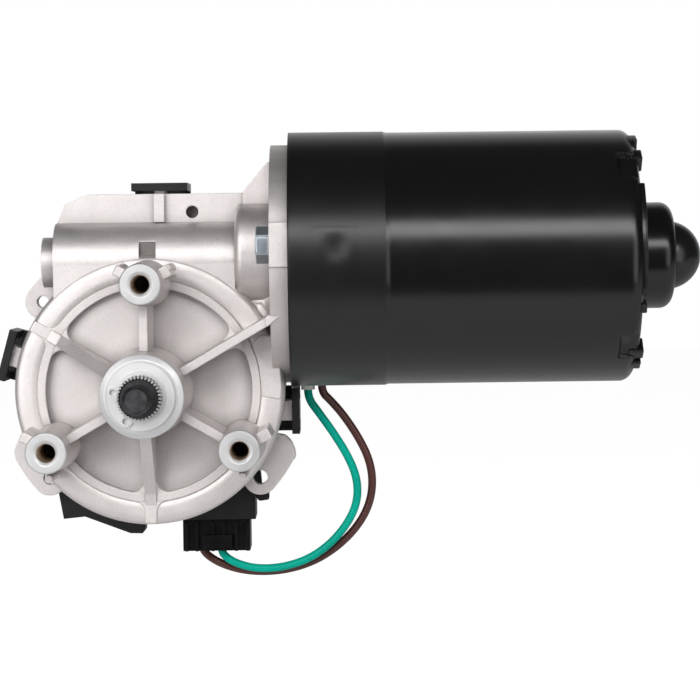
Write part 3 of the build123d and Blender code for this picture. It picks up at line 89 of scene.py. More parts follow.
class Graph:
    """The node tree of a material or a world, with short ways to add nodes."""

    def __init__(self, owner: bpy.types.Material | bpy.types.World) -> None:
        """Starts with an output node alone, and no place yet where patterns are read.

        Args:
            owner: What the nodes belong to.
        """
        owner.use_nodes = True
        self.tree = owner.node_tree
        self.tree.nodes.clear()
        kind = "World" if isinstance(owner, bpy.types.World) else "Material"
        self.output = self.add(f"ShaderNodeOutput{kind}")
        self.pattern: Socket | None = None

    def add(self, kind: str, inputs: Inputs | None = None, **settings: object) -> bpy.types.Node:
        """Adds a node.

        Args:
            kind: The node's type name.
            inputs: What each input gets: another node's socket, or a value.
            settings: Attribute values of the node.

        Returns:
            The node.
        """
        node = self.tree.nodes.new(kind)
        for key, value in settings.items():
            setattr(node, key, value)
        for key, value in (inputs or {}).items():
            if isinstance(value, Socket):
                self.tree.links.new(value, node.inputs[key])
            else:
                node.inputs[key].default_value = value
        return node

    def show(self, surface: Socket) -> None:
        """Joins the output node to what it shows."""
        self.tree.links.new(surface, self.output.inputs["Surface"])

    def part(self, source: Socket, axis: str) -> Socket:
        """One axis of a vector."""
        return self.add("ShaderNodeSeparateXYZ", {"Vector": source}).outputs[axis]

    def place(self, kind: str = "Object") -> Socket:
        """The texture coordinates of one kind."""
        return self.add("ShaderNodeTexCoord").outputs[kind]

    def noise(self, scale: float, detail: float, rough: float = 0.55) -> Socket:
        """A noise pattern about 0.5: features to a metre, octaves of finer noise, and their strength."""
        inputs = {"Vector": self.pattern, "Scale": scale, "Detail": detail, "Roughness": rough}
        return self.add("ShaderNodeTexNoise", inputs).outputs["Fac"]

    def spread(self, source: Socket, low: float, high: float, start: float = 0.3, end: float = 0.7) -> Socket:
        """Maps start..end of a pattern to low..high, held at both ends."""
        inputs = {"Value": source, "From Min": start, "From Max": end, "To Min": low, "To Max": high}
        return self.add("ShaderNodeMapRange", inputs, clamp=True).outputs["Result"]

    def sum_of(self, operation: str, *terms: Socket | float) -> Socket:
        """The result of a Math node's operation on sockets or plain numbers."""
        return self.add("ShaderNodeMath", dict(enumerate(terms)), operation=operation).outputs["Value"]

    def mix(self, share: Socket, *tones: Socket | Colour) -> Socket:
        """Blends two colours.

        Args:
            share: The second one's share.
            tones: Both colours, each a socket or a plain one.

        Returns:
            The blend.
        """
        first, second = ((*tone, 1.0) if isinstance(tone, tuple) else tone for tone in tones)
        inputs = {"Factor": share, 6: first, 7: second}
        return self.add("ShaderNodeMix", inputs, data_type="RGBA", clamp_factor=True).outputs[2]

    def blend(self, share: Socket, first: Socket | float, second: Socket | float) -> Socket:
        """Blends two values by a share."""
        return self.add("ShaderNodeMix", {0: share, 2: first, 3: second}).outputs[0]


def linked(name: str, data: bpy.types.ID) -> bpy.types.Object:
    """A new object of the scene.

    Args:
        name: Its name.
        data: What it shows.

    Returns:
        The object.
    """
    made = bpy.data.objects.new(name, data)
    bpy.context.scene.collection.objects.link(made)
    return made


def shade(colour: Colour, factor: float) -> Colour:
    """A colour made darker or lighter by a factor."""
    return tuple(min(1.0, channel * factor) for channel in colour)


@dataclass(frozen=True)
class Finish:
    """One surface finish, and the material that it makes.

    The colour drifts between a darker and a lighter tone with a slow noise, the roughness with another,
    and a fine noise lifts the surface. Edges are eased by the edge radius, and get a lighter tone that is
    partly wear and partly a painted highlight.
    """

    name: str
    colour: Colour
    metallic: float = 0.0
    roughness: float = 0.5
    texture: Texture = Texture.GRAINY
    tone_spread: float = 0.12
    tone_scale: float = 90.0
    rough_spread: float = 0.06
    grain_scale: float = 2500.0
    grain_depth: float = 0.03 * MM
    grain_strength: float = 0.25
    edge_radius: float = 0.25 * MM
    specular: float = 0.5
    transmission: float = 0.0
    stretch: Point = (1.0, 1.0, 1.0)
    band_scale: float = 900.0
    band_wander: float = 0.4
    edge_tone: float = 1.25
    rough_finer: float = 2.3

    def colouring(self, graph: Graph) -> Socket:
        """The drifting colour: the tone noise, blended from the dark to the light shade, then the lighter
        edges, partly wear and partly painted highlight.

        Args:
            graph: The material's nodes.

        Returns:
            The colour.
        """
        tone = graph.noise(self.tone_scale, detail=5.0)
        drifting = graph.mix(
            graph.spread(tone, 0.0, 1.0),
            shade(self.colour, 1.0 - self.tone_spread),
            shade(self.colour, 1.0 + self.tone_spread),
        )
        if self.edge_radius == 0.0:
            return drifting
        return graph.mix(self.wear_and_highlight(graph), drifting, shade(self.colour, self.edge_tone))

    def eased(self, graph: Graph) -> Socket:
        """The surface direction with its edges eased."""
        return graph.add("ShaderNodeBevel", {"Radius": self.edge_radius}, samples=4).outputs["Normal"]

    def wear_and_highlight(self, graph: Graph) -> Socket:
        """How much an edge is lightened, for wear and a painted highlight: 0 on a flat face, growing as the
        eased normal leaves the face's own.

        Args:
            graph: The material's nodes.

        Returns:
            The lightening, up to 1.
        """
        inputs = {0: self.eased(graph), 1: graph.add("ShaderNodeNewGeometry").outputs["Normal"]}
        alike = graph.add("ShaderNodeVectorMath", inputs, operation="DOT_PRODUCT")
        return graph.spread(alike.outputs["Value"], low=1.0, high=0.0, start=0.88, end=0.995)

    def relief(self, graph: Graph) -> Socket:
        """The height pattern: grain alone, or with bands along the stretched axis.

        Args:
            graph: The material's nodes.

        Returns:
            The height.
        """
        grain = graph.noise(self.grain_scale, detail=3.0, rough=0.6)
        if self.texture is Texture.GRAINY:
            return grain
        bands = graph.add(
            "ShaderNodeTexWave",
            {"Vector": graph.pattern, "Scale": self.band_scale, "Distortion": self.band_wander},
            wave_type="BANDS", bands_direction="DIAGONAL" if self.texture is Texture.WOUND else "X",
        )
        return graph.sum_of("ADD", grain, bands.outputs["Fac"])

    def roughing(self, graph: Graph) -> Socket:
        """The roughness, drifting about its middle value."""
        drift = graph.noise(self.tone_scale * self.rough_finer, detail=4.0)
        return graph.spread(drift, self.roughness - self.rough_spread, self.roughness + self.rough_spread)

    def normal(self, graph: Graph, height: Socket) -> Socket:
        """The surface direction: eased edges first, then the relief.

        Args:
            graph: The material's nodes.
            height: The height pattern.

        Returns:
            The direction.
        """
        inputs = {"Strength": self.grain_strength, "Distance": self.grain_depth, "Height": height}
        if self.edge_radius > 0.0:
            inputs["Normal"] = self.eased(graph)
        return graph.add("ShaderNodeBump", inputs).outputs["Normal"]

    def material(self) -> bpy.types.Material:
        """Builds the material. Its patterns are read on the object's own coordinates, stretched.

        Returns:
            The material, with its colour, roughness and surface direction from patterns.
        """
        made = bpy.data.materials.new(self.name)
        graph = Graph(made)
        inputs = {"Vector": graph.place(), "Scale": self.stretch}
        graph.pattern = graph.add("ShaderNodeMapping", inputs).outputs["Vector"]
        shader = graph.add("ShaderNodeBsdfPrincipled", {
            "Base Color": self.colouring(graph),
            "Metallic": self.metallic,
            "Roughness": self.roughing(graph),
            "Specular IOR Level": self.specular,
            "Transmission Weight": self.transmission,
            "Normal": self.normal(graph, self.relief(graph)),
        })
        graph.show(shader.outputs["BSDF"])
        return made


@dataclass(frozen=True)
class CastFinish(Finish):
    """Sand-grained cast metal, with the faces in front of one depth cut bright by a tool."""

    cut_depth: float = 0.3 * MM
    cut_colour: Colour = (0.69, 0.685, 0.69)
    cut_roughness: float = 0.42
    pit_scale: float = 1700.0
    pit_shade: float = 0.6
    # How far the painted shade in the corners reaches, and how dark it is.
    corner_reach: float = 4.0 * MM
    corner_shade: float = 0.55

    def cut(self, graph: Graph) -> Socket:
        """1 in front of the cut depth, where a tool has faced the bosses and the hub, else 0."""
        return graph.sum_of("LESS_THAN", graph.part(graph.place(), "Y"), self.cut_depth)

    def colouring(self, graph: Graph) -> Socket:
        """The cast colour with fine dark pits and painted shade in the corners, and the brighter colour where
        it is cut.

        The corner shade grows with how much of the sky nearby metal hides, within the corner reach.

        Args:
            graph: The material's nodes.

        Returns:
            The colour.
        """
        cast = super().colouring(graph)
        pits = graph.noise(self.pit_scale, detail=2.0, rough=0.7)
        pit = graph.spread(pits, low=0.22, high=0.0, start=0.32, end=0.5)
        pitted = graph.mix(pit, cast, shade(self.colour, self.pit_shade))
        # Painted shade: the corners are darkened by ambient occlusion.
        reach = {"Distance": self.corner_reach}
        corner = graph.add("ShaderNodeAmbientOcclusion", reach, samples=6, only_local=True)
        depth = graph.spread(corner.outputs["AO"], low=1.0, high=0.0, start=0.35, end=0.95)
        corner_shaded = graph.mix(depth, pitted, shade(self.colour, self.corner_shade))
        return graph.mix(self.cut(graph), corner_shaded, self.cut_colour)

    def roughing(self, graph: Graph) -> Socket:
        """The cast roughness, lower where it is cut.

        Args:
            graph: The material's nodes.

        Returns:
            The roughness.
        """
        step = self.roughness - self.cut_roughness
        less = graph.sum_of("MULTIPLY", self.cut(graph), step)
        return graph.sum_of("SUBTRACT", super().roughing(graph), less)


@dataclass(frozen=True)
class EnamelFinish(Finish):
    """Stoved black enamel, satin on the mouth of the can and glossier beyond it."""

    mouth_end: float = 66.0 * MM
    mouth_extra: float = 0.1

    def roughing(self, graph: Graph) -> Socket:
        """The enamel's roughness, with the extra added up to the end of the mouth.

        Args:
            graph: The material's nodes.

        Returns:
            The roughness.
        """
        mouth = graph.sum_of("LESS_THAN", graph.part(graph.place(), "X"), self.mouth_end)
        extra = graph.sum_of("MULTIPLY", mouth, self.mouth_extra)
        return graph.sum_of("ADD", super().roughing(graph), extra)


BLACK_ENAMEL = EnamelFinish(
    "black_enamel", (0.0045, 0.0043, 0.0048), roughness=0.22, rough_spread=0.02,
    tone_scale=40.0, grain_scale=500.0, grain_strength=0.06, edge_radius=1.3 * MM,
)
MADE_FINISHES: tuple[Finish, ...] = (
    CastFinish(
        "cast_aluminium", (0.72, 0.68, 0.67), metallic=0.85, roughness=0.52, tone_spread=0.06,
        tone_scale=70.0, grain_scale=2600.0, grain_strength=0.5, grain_depth=0.05 * MM,
        edge_radius=0.5 * MM,
    ),
    BLACK_ENAMEL,
    replace(BLACK_ENAMEL, name="soft_enamel", edge_radius=0.0),
    Finish(
        "black_cap", (0.007, 0.007, 0.008), roughness=0.24, rough_spread=0.03, grain_scale=900.0,
        grain_strength=0.06, edge_radius=0.3 * MM,
    ),
    Finish(
        "black_plastic", (0.007, 0.007, 0.0085), roughness=0.42, grain_scale=3000.0, grain_strength=0.2,
        specular=0.35, edge_tone=1.8,
    ),
    Finish(
        "plug_plastic", (0.0028, 0.0028, 0.003), roughness=0.34, grain_scale=2800.0, grain_strength=0.15,
        specular=0.2, edge_tone=2.5,
    ),
    Finish("black_rubber", (0.018, 0.018, 0.018), roughness=0.7, grain_strength=0.4),
    Finish(
        "dark_steel", (0.06, 0.06, 0.064), metallic=0.8, roughness=0.42, tone_spread=0.45,
        tone_scale=420.0, grain_scale=1600.0, grain_strength=0.4, edge_radius=0.12 * MM,
    ),
    Finish(
        "rubbed_steel", (0.5, 0.5, 0.51), metallic=0.7, roughness=0.5, tone_spread=0.25,
        tone_scale=900.0, edge_radius=0.05 * MM,
    ),
    Finish("tapped_metal", (0.5, 0.4, 0.3), metallic=0.9, roughness=0.4, edge_radius=0.0),
    # A dark finish that paints the shadow on the floor of the recess.
    Finish("recess_shadow", (0.2, 0.185, 0.175), metallic=0.5, roughness=0.6, grain_strength=0.4),
    Finish(
        "spring_steel", (0.78, 0.775, 0.78), metallic=0.6, roughness=0.5, tone_spread=0.06,
        edge_radius=0.12 * MM,
    ),
    Finish(
        "ground_steel", (0.55, 0.55, 0.57), metallic=1.0, roughness=0.28, texture=Texture.TURNED,
        stretch=(1.0, 0.04, 0.04), band_scale=1500.0, band_wander=1.5, grain_strength=0.12,
    ),
    Finish("white_plastic", (0.78, 0.76, 0.7), roughness=0.45, grain_strength=0.12),
    Finish("brass_contact", (0.8, 0.58, 0.24), metallic=1.0, roughness=0.3, edge_radius=0.1 * MM),
    Finish("sintered_bronze", (0.46, 0.3, 0.16), metallic=0.9, roughness=0.5, grain_scale=4000.0),
    Finish(
        "lamination_steel", (0.34, 0.34, 0.36), metallic=1.0, roughness=0.4, texture=Texture.LAYERED,
        stretch=(1.0, 0.0, 0.0), band_scale=320.0, grain_strength=0.6, grain_depth=0.1 * MM,
    ),
    Finish(
        "enamelled_copper", (0.52, 0.16, 0.06), metallic=0.6, roughness=0.32, texture=Texture.WOUND,
        band_scale=400.0, grain_strength=0.8, grain_depth=0.3 * MM, edge_radius=0.0,
    ),
    Finish(
        "commutator_copper", (0.72, 0.36, 0.22), metallic=1.0, roughness=0.3, texture=Texture.TURNED,
        stretch=(1.0, 0.04, 0.04), band_wander=1.5, grain_strength=0.1,
    ),
    # Its strong edge tone paints a highlight round the flats of the bolt heads.
    Finish(
        "zinc_steel", (0.36, 0.4, 0.45), metallic=0.9, roughness=0.34, tone_spread=0.1,
        grain_strength=0.12, edge_radius=0.7 * MM, edge_tone=2.4,
    ),
    Finish("ferrite", (0.05, 0.05, 0.055), metallic=0.2, roughness=0.6),
    Finish("brown_laminate", (0.2, 0.09, 0.04), roughness=0.5),
    Finish(
        "teal_insulation", (0.0, 0.38, 0.28), roughness=0.3, rough_spread=0.04, grain_scale=900.0,
        grain_strength=0.08, edge_radius=0.0, specular=0.12,
    ),
    Finish(
        "brown_insulation", (0.075, 0.02, 0.016), roughness=0.34, rough_spread=0.04, grain_scale=900.0,
        grain_strength=0.08, edge_radius=0.0,
    ),
    Finish("clear_rubber", (0.75, 0.76, 0.72), roughness=0.35, transmission=0.55, edge_radius=0.2 * MM),
    Finish("carbon", (0.03, 0.03, 0.032), metallic=0.2, roughness=0.55),
)
FINISHES: dict[str, Finish] = {finish.name: finish for finish in MADE_FINISHES}


@dataclass
class Workshop:
    """Makes each finish's material once and hands it out."""

    made: dict[str, bpy.types.Material] = field(default_factory=dict)

    def finish(self, name: str) -> bpy.types.Material:
        """The material of a named finish, made on first use.

        Args:
            name: The finish.

        Returns:
            The material.
        """
        if name not in self.made:
            self.made[name] = FINISHES[name].material()
        return self.made[name]

    def dress(self, piece: bpy.types.Object, name: str, slot: str = "") -> None:
        """Gives a piece one finish all over.

        Args:
            piece: What is dressed.
            name: The finish.
            slot: The record's slot, where it isn't named as the finish is. Not used.
        """
        piece.data.materials.clear()
        piece.data.materials.append(self.finish(name))

    def put(
        self, name: str, shape: Surface, finish: str, slot: str = "", body: Body = Body.HOUSING,
        smooth: bool = False,
    ) -> None:
        """Makes a piece from points and faces, and dresses it.

        Args:
            name: The piece's name.
            shape: Its points and faces.
            finish: The finish.
            slot: The record's slot, where it isn't named as the finish is.
            body: What it rides on.
            smooth: Whether its faces are shaded smooth.
        """
        self.dress(mesh_piece(name, shape, body, smooth), finish, slot)

    def dress_nodes(self) -> None:
        """Gives every CAD node the finish that its record names."""
        for part in frame["record"]["subparts"]:
            node = frame["nodes"][part["node"]]
            self.dress(node, part["material_slot"])
            log.info("dressed %s in %s", part["node"], part["material_slot"])


@dataclass
class Details:
    """A group of new pieces, and the workshop that makes and dresses them."""

    shop: Workshop


def mesh_piece(name: str, shape: Surface, body: Body, smooth: bool) -> bpy.types.Object:
    """Makes a piece from points and faces, with its faces pointing outwards.

    Args:
        name: The piece's name.
        shape: Its points, one row for each in metres, and its faces.
        body: What it rides on.
        smooth: Whether its faces are shaded smooth.

    Returns:
        The piece, at the origin.
    """
    points, faces = shape
    mesh = bpy.data.meshes.new(name)
    mesh.from_pydata(points.tolist(), [], faces)
    work = bmesh.new()
    work.from_mesh(mesh)
    bmesh.ops.recalc_face_normals(work, faces=work.faces)
    work.to_mesh(mesh)
    work.free()
    mesh.polygons.foreach_set("use_smooth", np.full(len(mesh.polygons), smooth))
    piece = linked(name, mesh)
    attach(piece, body.value)
    log.info("made %s with %d faces", name, len(mesh.polygons))
    return piece


def ring_faces(rings: int, points_each: int) -> Faces:
    """Quads between closed rings of points, with both ends closed by one face each.

    Args:
        rings: How many rings there are.
        points_each: How many points each ring has.

    Returns:
        The faces, as vertex numbers.
    """
    ring, point = np.meshgrid(np.arange(rings - 1), np.arange(points_each), indexing="ij")
    after = (point + 1) % points_each
    quads = np.stack(
        [ring * points_each + point, ring * points_each + after,
         (ring + 1) * points_each + after, (ring + 1) * points_each + point], axis=-1,
    )
    ends = [list(range(points_each)), list(range((rings - 1) * points_each, rings * points_each))]
    return quads.reshape(-1, 4).tolist() + ends


def rounded(outline: np.ndarray, radius: float, steps: int = 5, longest: float = 0.45) -> np.ndarray:
    """Rounds the corners of a closed outline.

    Each corner is replaced by a curve between two points at the radius from it along its sides,
    weighted as a quadratic curve with the corner as its middle point.

    Args:
        outline: One row for each corner.
        radius: How far from the corner the curve starts.
        steps: Points on each curve.
        longest: The largest share of a side that one curve may take.

    Returns:
        The rounded outline.
    """
    before = np.roll(outline, 1, axis=0) - outline
    after = np.roll(outline, -1, axis=0) - outline
    lengths = np.linalg.norm(before, axis=1), np.linalg.norm(after, axis=1)
    reach = np.minimum(radius, longest * np.minimum(*lengths))[:, None]
    start = (outline + before / lengths[0][:, None] * reach)[:, None]
    end = (outline + after / lengths[1][:, None] * reach)[:, None]
    share = np.linspace(0.0, 1.0, steps)[None, :, None]
    curve = (1 - share) ** 2 * start + 2 * share * (1 - share) * outline[:, None] + share**2 * end
    return curve.reshape(-1, 2)


def raised_block(
    outline: np.ndarray, depths: Span, edge: float = 0.3, flare: float = 0.0, facing: Facing = Facing.FRONT
) -> Surface:
    """A block that rises from its foot to its tip, with an eased tip edge.

    The block is four rings of its outline: flared at the foot, true where the edge starts, drawn
    in a little near the tip, by the same share of the edge as is left there, and by the whole
    edge at the tip.

    Args:
        outline: The block's outline in millimetres, across and up.
        depths: Where the tip and the foot are, along the block's axis.
        edge: How far the tip's edge is eased.
        flare: How much wider the foot is, as a share.
        facing: The block's axis.

    Returns:
        The points in metres, and the faces.
    """
    tip, foot = depths
    middle = outline.mean(axis=0)
    away = outline - middle
    size = np.linalg.norm(away, axis=1, keepdims=True)
    side = math.copysign(edge, foot - tip)
    scales = (1.0 + flare, 1.0, 1.0 - NEAR_TIP * edge / size, 1.0 - edge / size)
    levels = (foot, tip + side, tip + NEAR_TIP * side, tip)
    rings = [middle + away * scale for scale in scales]
    rows = [np.column_stack([ring[:, 0], np.full(len(ring), level), ring[:, 1]])
            for ring, level in zip(rings, levels)]
    points = np.vstack(rows)[:, facing.value]
    return points * MM, ring_faces(len(levels), len(outline))


def grid(across: Span, up: Span, counts: tuple[int, int]) -> list[np.ndarray]:
    """Every pair of two evenly divided ranges, as one array for each range."""
    return np.meshgrid(np.linspace(*across, counts[0]), np.linspace(*up, counts[1]), indexing="ij")


def slab(across: np.ndarray, up: np.ndarray, front: np.ndarray, back: np.ndarray) -> Surface:
    """Two grids of points, one in front of the other, with walls between their rims.

    Args:
        across: How far right each point of the grids is, in millimetres.
        up: How high it is.
        front: How deep it is on the front grid.
        back: How deep it is on the back grid.

    Returns:
        The points in metres, and the faces.
    """
    rows, columns = across.shape
    row, column = np.meshgrid(np.arange(rows - 1), np.arange(columns - 1), indexing="ij")
    first = row * columns + column
    quads = np.stack([first, first + 1, first + columns + 1, first + columns], axis=-1).reshape(-1, 4)
    rim = np.concatenate([
        np.arange(columns - 1), np.arange(rows - 1) * columns + columns - 1,
        (rows - 1) * columns + np.arange(columns - 1, 0, -1), np.arange(rows - 1, 0, -1) * columns,
    ])
    after = np.roll(rim, -1)
    count = rows * columns
    walls = np.stack([rim, rim + count, after + count, after], axis=-1)
    layers = np.stack([np.stack([across, depth, up], axis=-1) for depth in (front, back)])
    faces = quads.tolist() + (quads[:, ::-1] + count).tolist() + walls.tolist()
    return layers.reshape(-1, 3) * MM, faces


def joined(parts: list[Surface]) -> Surface:
    """Puts several surfaces in one.

    Args:
        parts: The points and faces of each.

    Returns:
        The points and faces of all.
    """
    starts = np.cumsum([0] + [len(points) for points, _ in parts[:-1]])
    faces = [
        [corner + int(start) for corner in face] for (_, some), start in zip(parts, starts) for face in some
    ]
    return np.vstack([points for points, _ in parts]), faces


def half_turned(points: np.ndarray) -> np.ndarray:
    """The points half a turn round the motor's axis, which mirrors Y and Z in it."""
    return points * (1.0, -1.0, -1.0) + (0.0, 2.0 * MOTOR_Y, 2.0 * MOTOR_Z)


@dataclass(frozen=True)
class Block:
    """A small raised form on the front: its outline and the depths of its tip and foot, in millimetres.

    A pair has a second one half a turn round the motor's axis.
    """

    name: str
    outline: Outline
    depths: Span
    rounding: float = 0.0
    edge: float = 0.3
    flare: float = 0.0
    smooth: bool = False
    finish: str = "cast_aluminium"
    slot: str = ""
    pair: bool = False

    def build(self, shop: Workshop) -> None:
        """Makes the block.

        Args:
            shop: Where it is made and dressed.
        """
        outline = np.array(self.outline)
        if self.rounding > 0.0:
            outline = rounded(outline, self.rounding)
        points, faces = raised_block(outline, self.depths, self.edge, self.flare)
        copies = [(points, faces)]
        if self.pair:
            copies.append((half_turned(points), faces))
        shop.put(self.name, joined(copies), self.finish, self.slot, smooth=self.smooth)


@dataclass
class CastDetails(Details):
    """The small forms of the cast housing.

    They are the nubs beside the bosses, the filled corners between ribs and ridge, the near-flat
    shoulder with the level ends of two ribs across it, the flat front under the worm's tunnel,
    the fill, pad and step at the flange, the long rib's pointed end, the web beside an ear and
    the floor of the recess, dark as a painted shadow.
    """

    nubs: tuple[tuple[float, ...], ...] = (
        (6.0, 33.05, 27.0, 3.05, 3.3), (-6.07, 33.22, 152.0, 3.33, 2.9), (32.3, -11.64, 28.0, 3.9, 3.1),
        (-32.14, -11.72, 152.0, 3.55, 2.9),
    )
    nub_depths: Span = (7.6, 26.5)
    nub_rounding: float = 0.5
    nub_flare: float = 0.12
    corner_angles: tuple[float, ...] = (30.0, 150.0, 270.0)
    rib_width: float = 3.2
    ridge_r: float = 28.8
    ridge_outer_r: float = 31.1
    corner_r: float = 3.2
    corner_points: int = 9
    corner_depths: Span = (24.1, 27.2)
    outer_corner_depths: Span = (24.03, 26.0)
    ridge_bite: float = 0.5
    rib_bite: float = 0.4
    run_angles: tuple[float, ...] = (150.0, 270.0)
    run_reach: Span = (30.5, 37.2)
    run_depths: Span = (23.97, 26.5)
    shoulder: Outline = (
        (30.8, 24.9), (31.2, 24.55), (33.0, 24.55), (35.0, 24.6), (36.2, 24.75), (36.9, 25.05), (37.35, 25.6),
        (37.65, 26.6), (37.75, 28.0), (37.75, 33.8), (36.8, 33.8), (35.6, 31.6), (33.2, 28.2), (31.2, 27.0),
    )
    shoulder_steps: int = 240
    tunnel_ends: Span = (-26.3, 24.4)
    tunnel_depths: Span = (25.03, 33.5)
    tunnel_foot_r: float = 35.0
    tunnel_grid: tuple[int, int] = (41, 21)
    worm_room: float = 9.6
    fillet_x: Span = (28.0, 34.7)
    fillet_z: Span = (11.5, 27.0)
    fillet_grid: tuple[int, int] = (28, 60)
    fillet_depth: float = 28.6
    fillet_rise: float = 3.2
    fillet_fade: float = 1.3
    fillet_wave: tuple[float, float, float] = (0.08, 2.1, 1.3)
    fillet_back: float = 30.0
    fillet_back_drop: float = 14.0
    wheel_room: Span = (34.5, 2.0)
    first_blocks: tuple[Block, ...] = (
        Block("ear_web", (
            (34.5, -14.0), (37.4, -14.5), (39.1, -16.2), (40.1, -18.6), (40.4, -21.0), (36.0, -25.0),
            (33.0, -20.0),
        ), (44.3, 47.4), rounding=0.8),
        Block("long_rib_end", (
            (33.0, 20.5), (34.5, 21.35), (35.6, 21.5), (37.7, 21.0), (35.5, 19.5), (34.2, 18.4),
            (33.4, 17.85),
        ), (7.5, 11.0), rounding=0.6, flare=0.02),
    )
    last_blocks: tuple[Block, ...] = (
        Block("shoulder_step", (
            (28.7, 12.6), (31.0, 15.2), (34.7, 15.3), (36.6, 7.0), (36.9, 1.0), (36.6, -3.0), (31.3, -2.0),
            (31.1, 2.0), (30.5, 6.5), (29.6, 10.0),
        ), (24.4, 27.0), rounding=0.8),
        Block("flange_pad", (
            (29.9, 23.9), (31.5, 24.1), (33.5, 21.5), (33.3, 20.3), (32.0, 20.0), (30.5, 21.8),
        ), (25.6, 31.0), rounding=0.5, edge=0.6, flare=0.15, smooth=True),
        # The floor of the recess is dressed dark as a painted shadow.
        Block(
            "recess_floor", ((-2.2, 36.4), (2.3, 36.4), (2.3, 41.5), (-2.2, 41.5)), (26.7, 27.8), edge=0.1,
            finish="recess_shadow", slot="cast_aluminium",
        ),
    )

    def nub(self, across: float, up: float, degrees: float, thick: float, wide: float) -> Surface:
        """One nub: a rounded rectangle with its long side across the direction of its boss.

        Args:
            across: Its middle along X, in millimetres.
            up: Its middle along Z.
            degrees: The direction from the boss to the nub.
            thick: Its size along that direction.
            wide: Its size across it.

        Returns:
            Points and faces.
        """
        turn = math.radians(degrees)
        along = np.array([math.cos(turn), math.sin(turn)])
        beside = np.array([-along[1], along[0]])
        corners = np.array([(-1, -1), (1, -1), (1, 1), (-1, 1)]) / 2
        outline = np.array([across, up]) + corners[:, :1] * thick * along + corners[:, 1:] * wide * beside
        return raised_block(rounded(outline, self.nub_rounding), self.nub_depths, flare=self.nub_flare)

    def corner(self, degrees: float, side: float, outward: bool = False) -> Surface:
        """One filled corner between a rib and the ridge.

        In the rib's frame the arc's centre is the corner radius away from the rib's side and from
        the ridge's circle, so the arc touches both.

        Args:
            degrees: The rib's angle.
            side: 1 or -1, for the side of the rib.
            outward: Whether it is on the outside of the ridge.

        Returns:
            Points and faces.
        """
        half = self.rib_width / 2
        way = 1.0 if outward else -1.0
        edge = self.ridge_outer_r if outward else self.ridge_r
        centre_v = half + self.corner_r
        centre_u = math.sqrt((edge + way * self.corner_r) ** 2 - centre_v**2)
        meet = math.atan2(centre_v, centre_u)
        sweep = np.linspace(meet - math.pi if outward else meet, -math.pi / 2, self.corner_points)
        arc_u = centre_u + self.corner_r * np.cos(sweep)
        arc_v = centre_v + self.corner_r * np.sin(sweep)
        bite = way * self.ridge_bite
        outside = np.array([
            (centre_u, half - self.rib_bite), (math.sqrt(edge**2 - half**2) - bite, half - self.rib_bite),
            ((edge - bite) * math.cos(meet), (edge - bite) * math.sin(meet)),
        ])
        local = np.vstack([outside, np.column_stack([arc_u, arc_v])]) * np.array([1.0, side])
        depths = self.outer_corner_depths if outward else self.corner_depths
        return raised_block(self.turned(local, degrees), depths, edge=0.15, flare=0.06)

    @staticmethod
    def turned(outline: np.ndarray, degrees: float) -> np.ndarray:
        """An outline turned about the output axis: u cos a - v sin a across, u sin a + v cos a up."""
        turn = math.radians(degrees)
        return outline @ np.array([[math.cos(turn), math.sin(turn)], [-math.sin(turn), math.cos(turn)]])

    def run(self, degrees: float) -> Surface:
        """A rib's level end, across the shoulder to the case's edge.

        Args:
            degrees: The rib's angle.

        Returns:
            Points and faces.
        """
        start, end = self.run_reach
        half = self.rib_width / 2
        outline = np.array([(start, -half), (end, -half), (end, half), (start, half)])
        return raised_block(self.turned(outline, degrees), self.run_depths, flare=0.08)

    def tunnel_front(self) -> Surface:
        """The flat front under the worm's tunnel, from its tangent down to the case's circle.

        Returns:
            Points and faces.
        """
        across, share = grid(self.tunnel_ends, (0.0, 1.0), self.tunnel_grid)
        top = MOTOR_Z / MM
        up = top + share * (np.sqrt(self.tunnel_foot_r**2 - across**2) - top)
        face, rear = self.tunnel_depths
        points, faces = slab(across, up, np.full_like(up, face), np.minimum(self.clear_of_worm(up), rear))
        return points, [face[::-1] for face in faces]

    def clear_of_worm(self, up: np.ndarray) -> np.ndarray:
        """How far back a piece may reach at a height: the front of a circle round the worm's axis."""
        return MOTOR_Y / MM - np.sqrt(np.clip(self.worm_room**2 - (up - MOTOR_Z / MM) ** 2, 0.0, None))

    def fillet(self) -> Surface:
        """The hollow between case, bearing boss and flange, filled to a surface that rises to the flange.

        The depth of the surface is its floor depth, less a rise that falls off with the distance
        from the flange as a decaying exponential, less a faint wave. Its back is level over the
        worm wheel's room and drops away evenly outside it.

        Returns:
            Points and faces.
        """
        across, up = grid(self.fillet_x, self.fillet_z, self.fillet_grid)
        rise = self.fillet_rise * np.exp(-(self.fillet_x[1] - across) / self.fillet_fade)
        height, turns_across, turns_up = self.fillet_wave
        front = self.fillet_depth - rise - height * np.sin(across * turns_across + up * turns_up)
        room, slope = self.wheel_room
        outside = np.clip((np.hypot(across, up) - room) / slope, 0.0, 1.0)
        return slab(across, up, front, self.fillet_back + self.fillet_back_drop * outside)

    def ring(self) -> Surface:
        """The near-flat shoulder of the case: its section carried round the output axis.

        Returns:
            Points and faces.
        """
        section = np.array(self.shoulder)
        turn = np.linspace(0.0, FULL_TURN, self.shoulder_steps, endpoint=False)[:, None]
        up = np.cos(turn) * section[:, 0]
        depth = np.minimum(section[:, 1], np.where(up > 0.0, self.clear_of_worm(up), np.inf))
        points = np.stack([np.sin(turn) * section[:, 0], depth, up], axis=-1)
        loops = np.arange(len(turn))[:, None] * len(section) + np.arange(len(section))
        after = np.roll(loops, -1, axis=0)
        faces = np.stack([loops, np.roll(loops, -1, axis=1), np.roll(after, -1, axis=1), after], axis=-1)
        return points.reshape(-1, 3) * MM, faces.reshape(-1, 4).tolist()

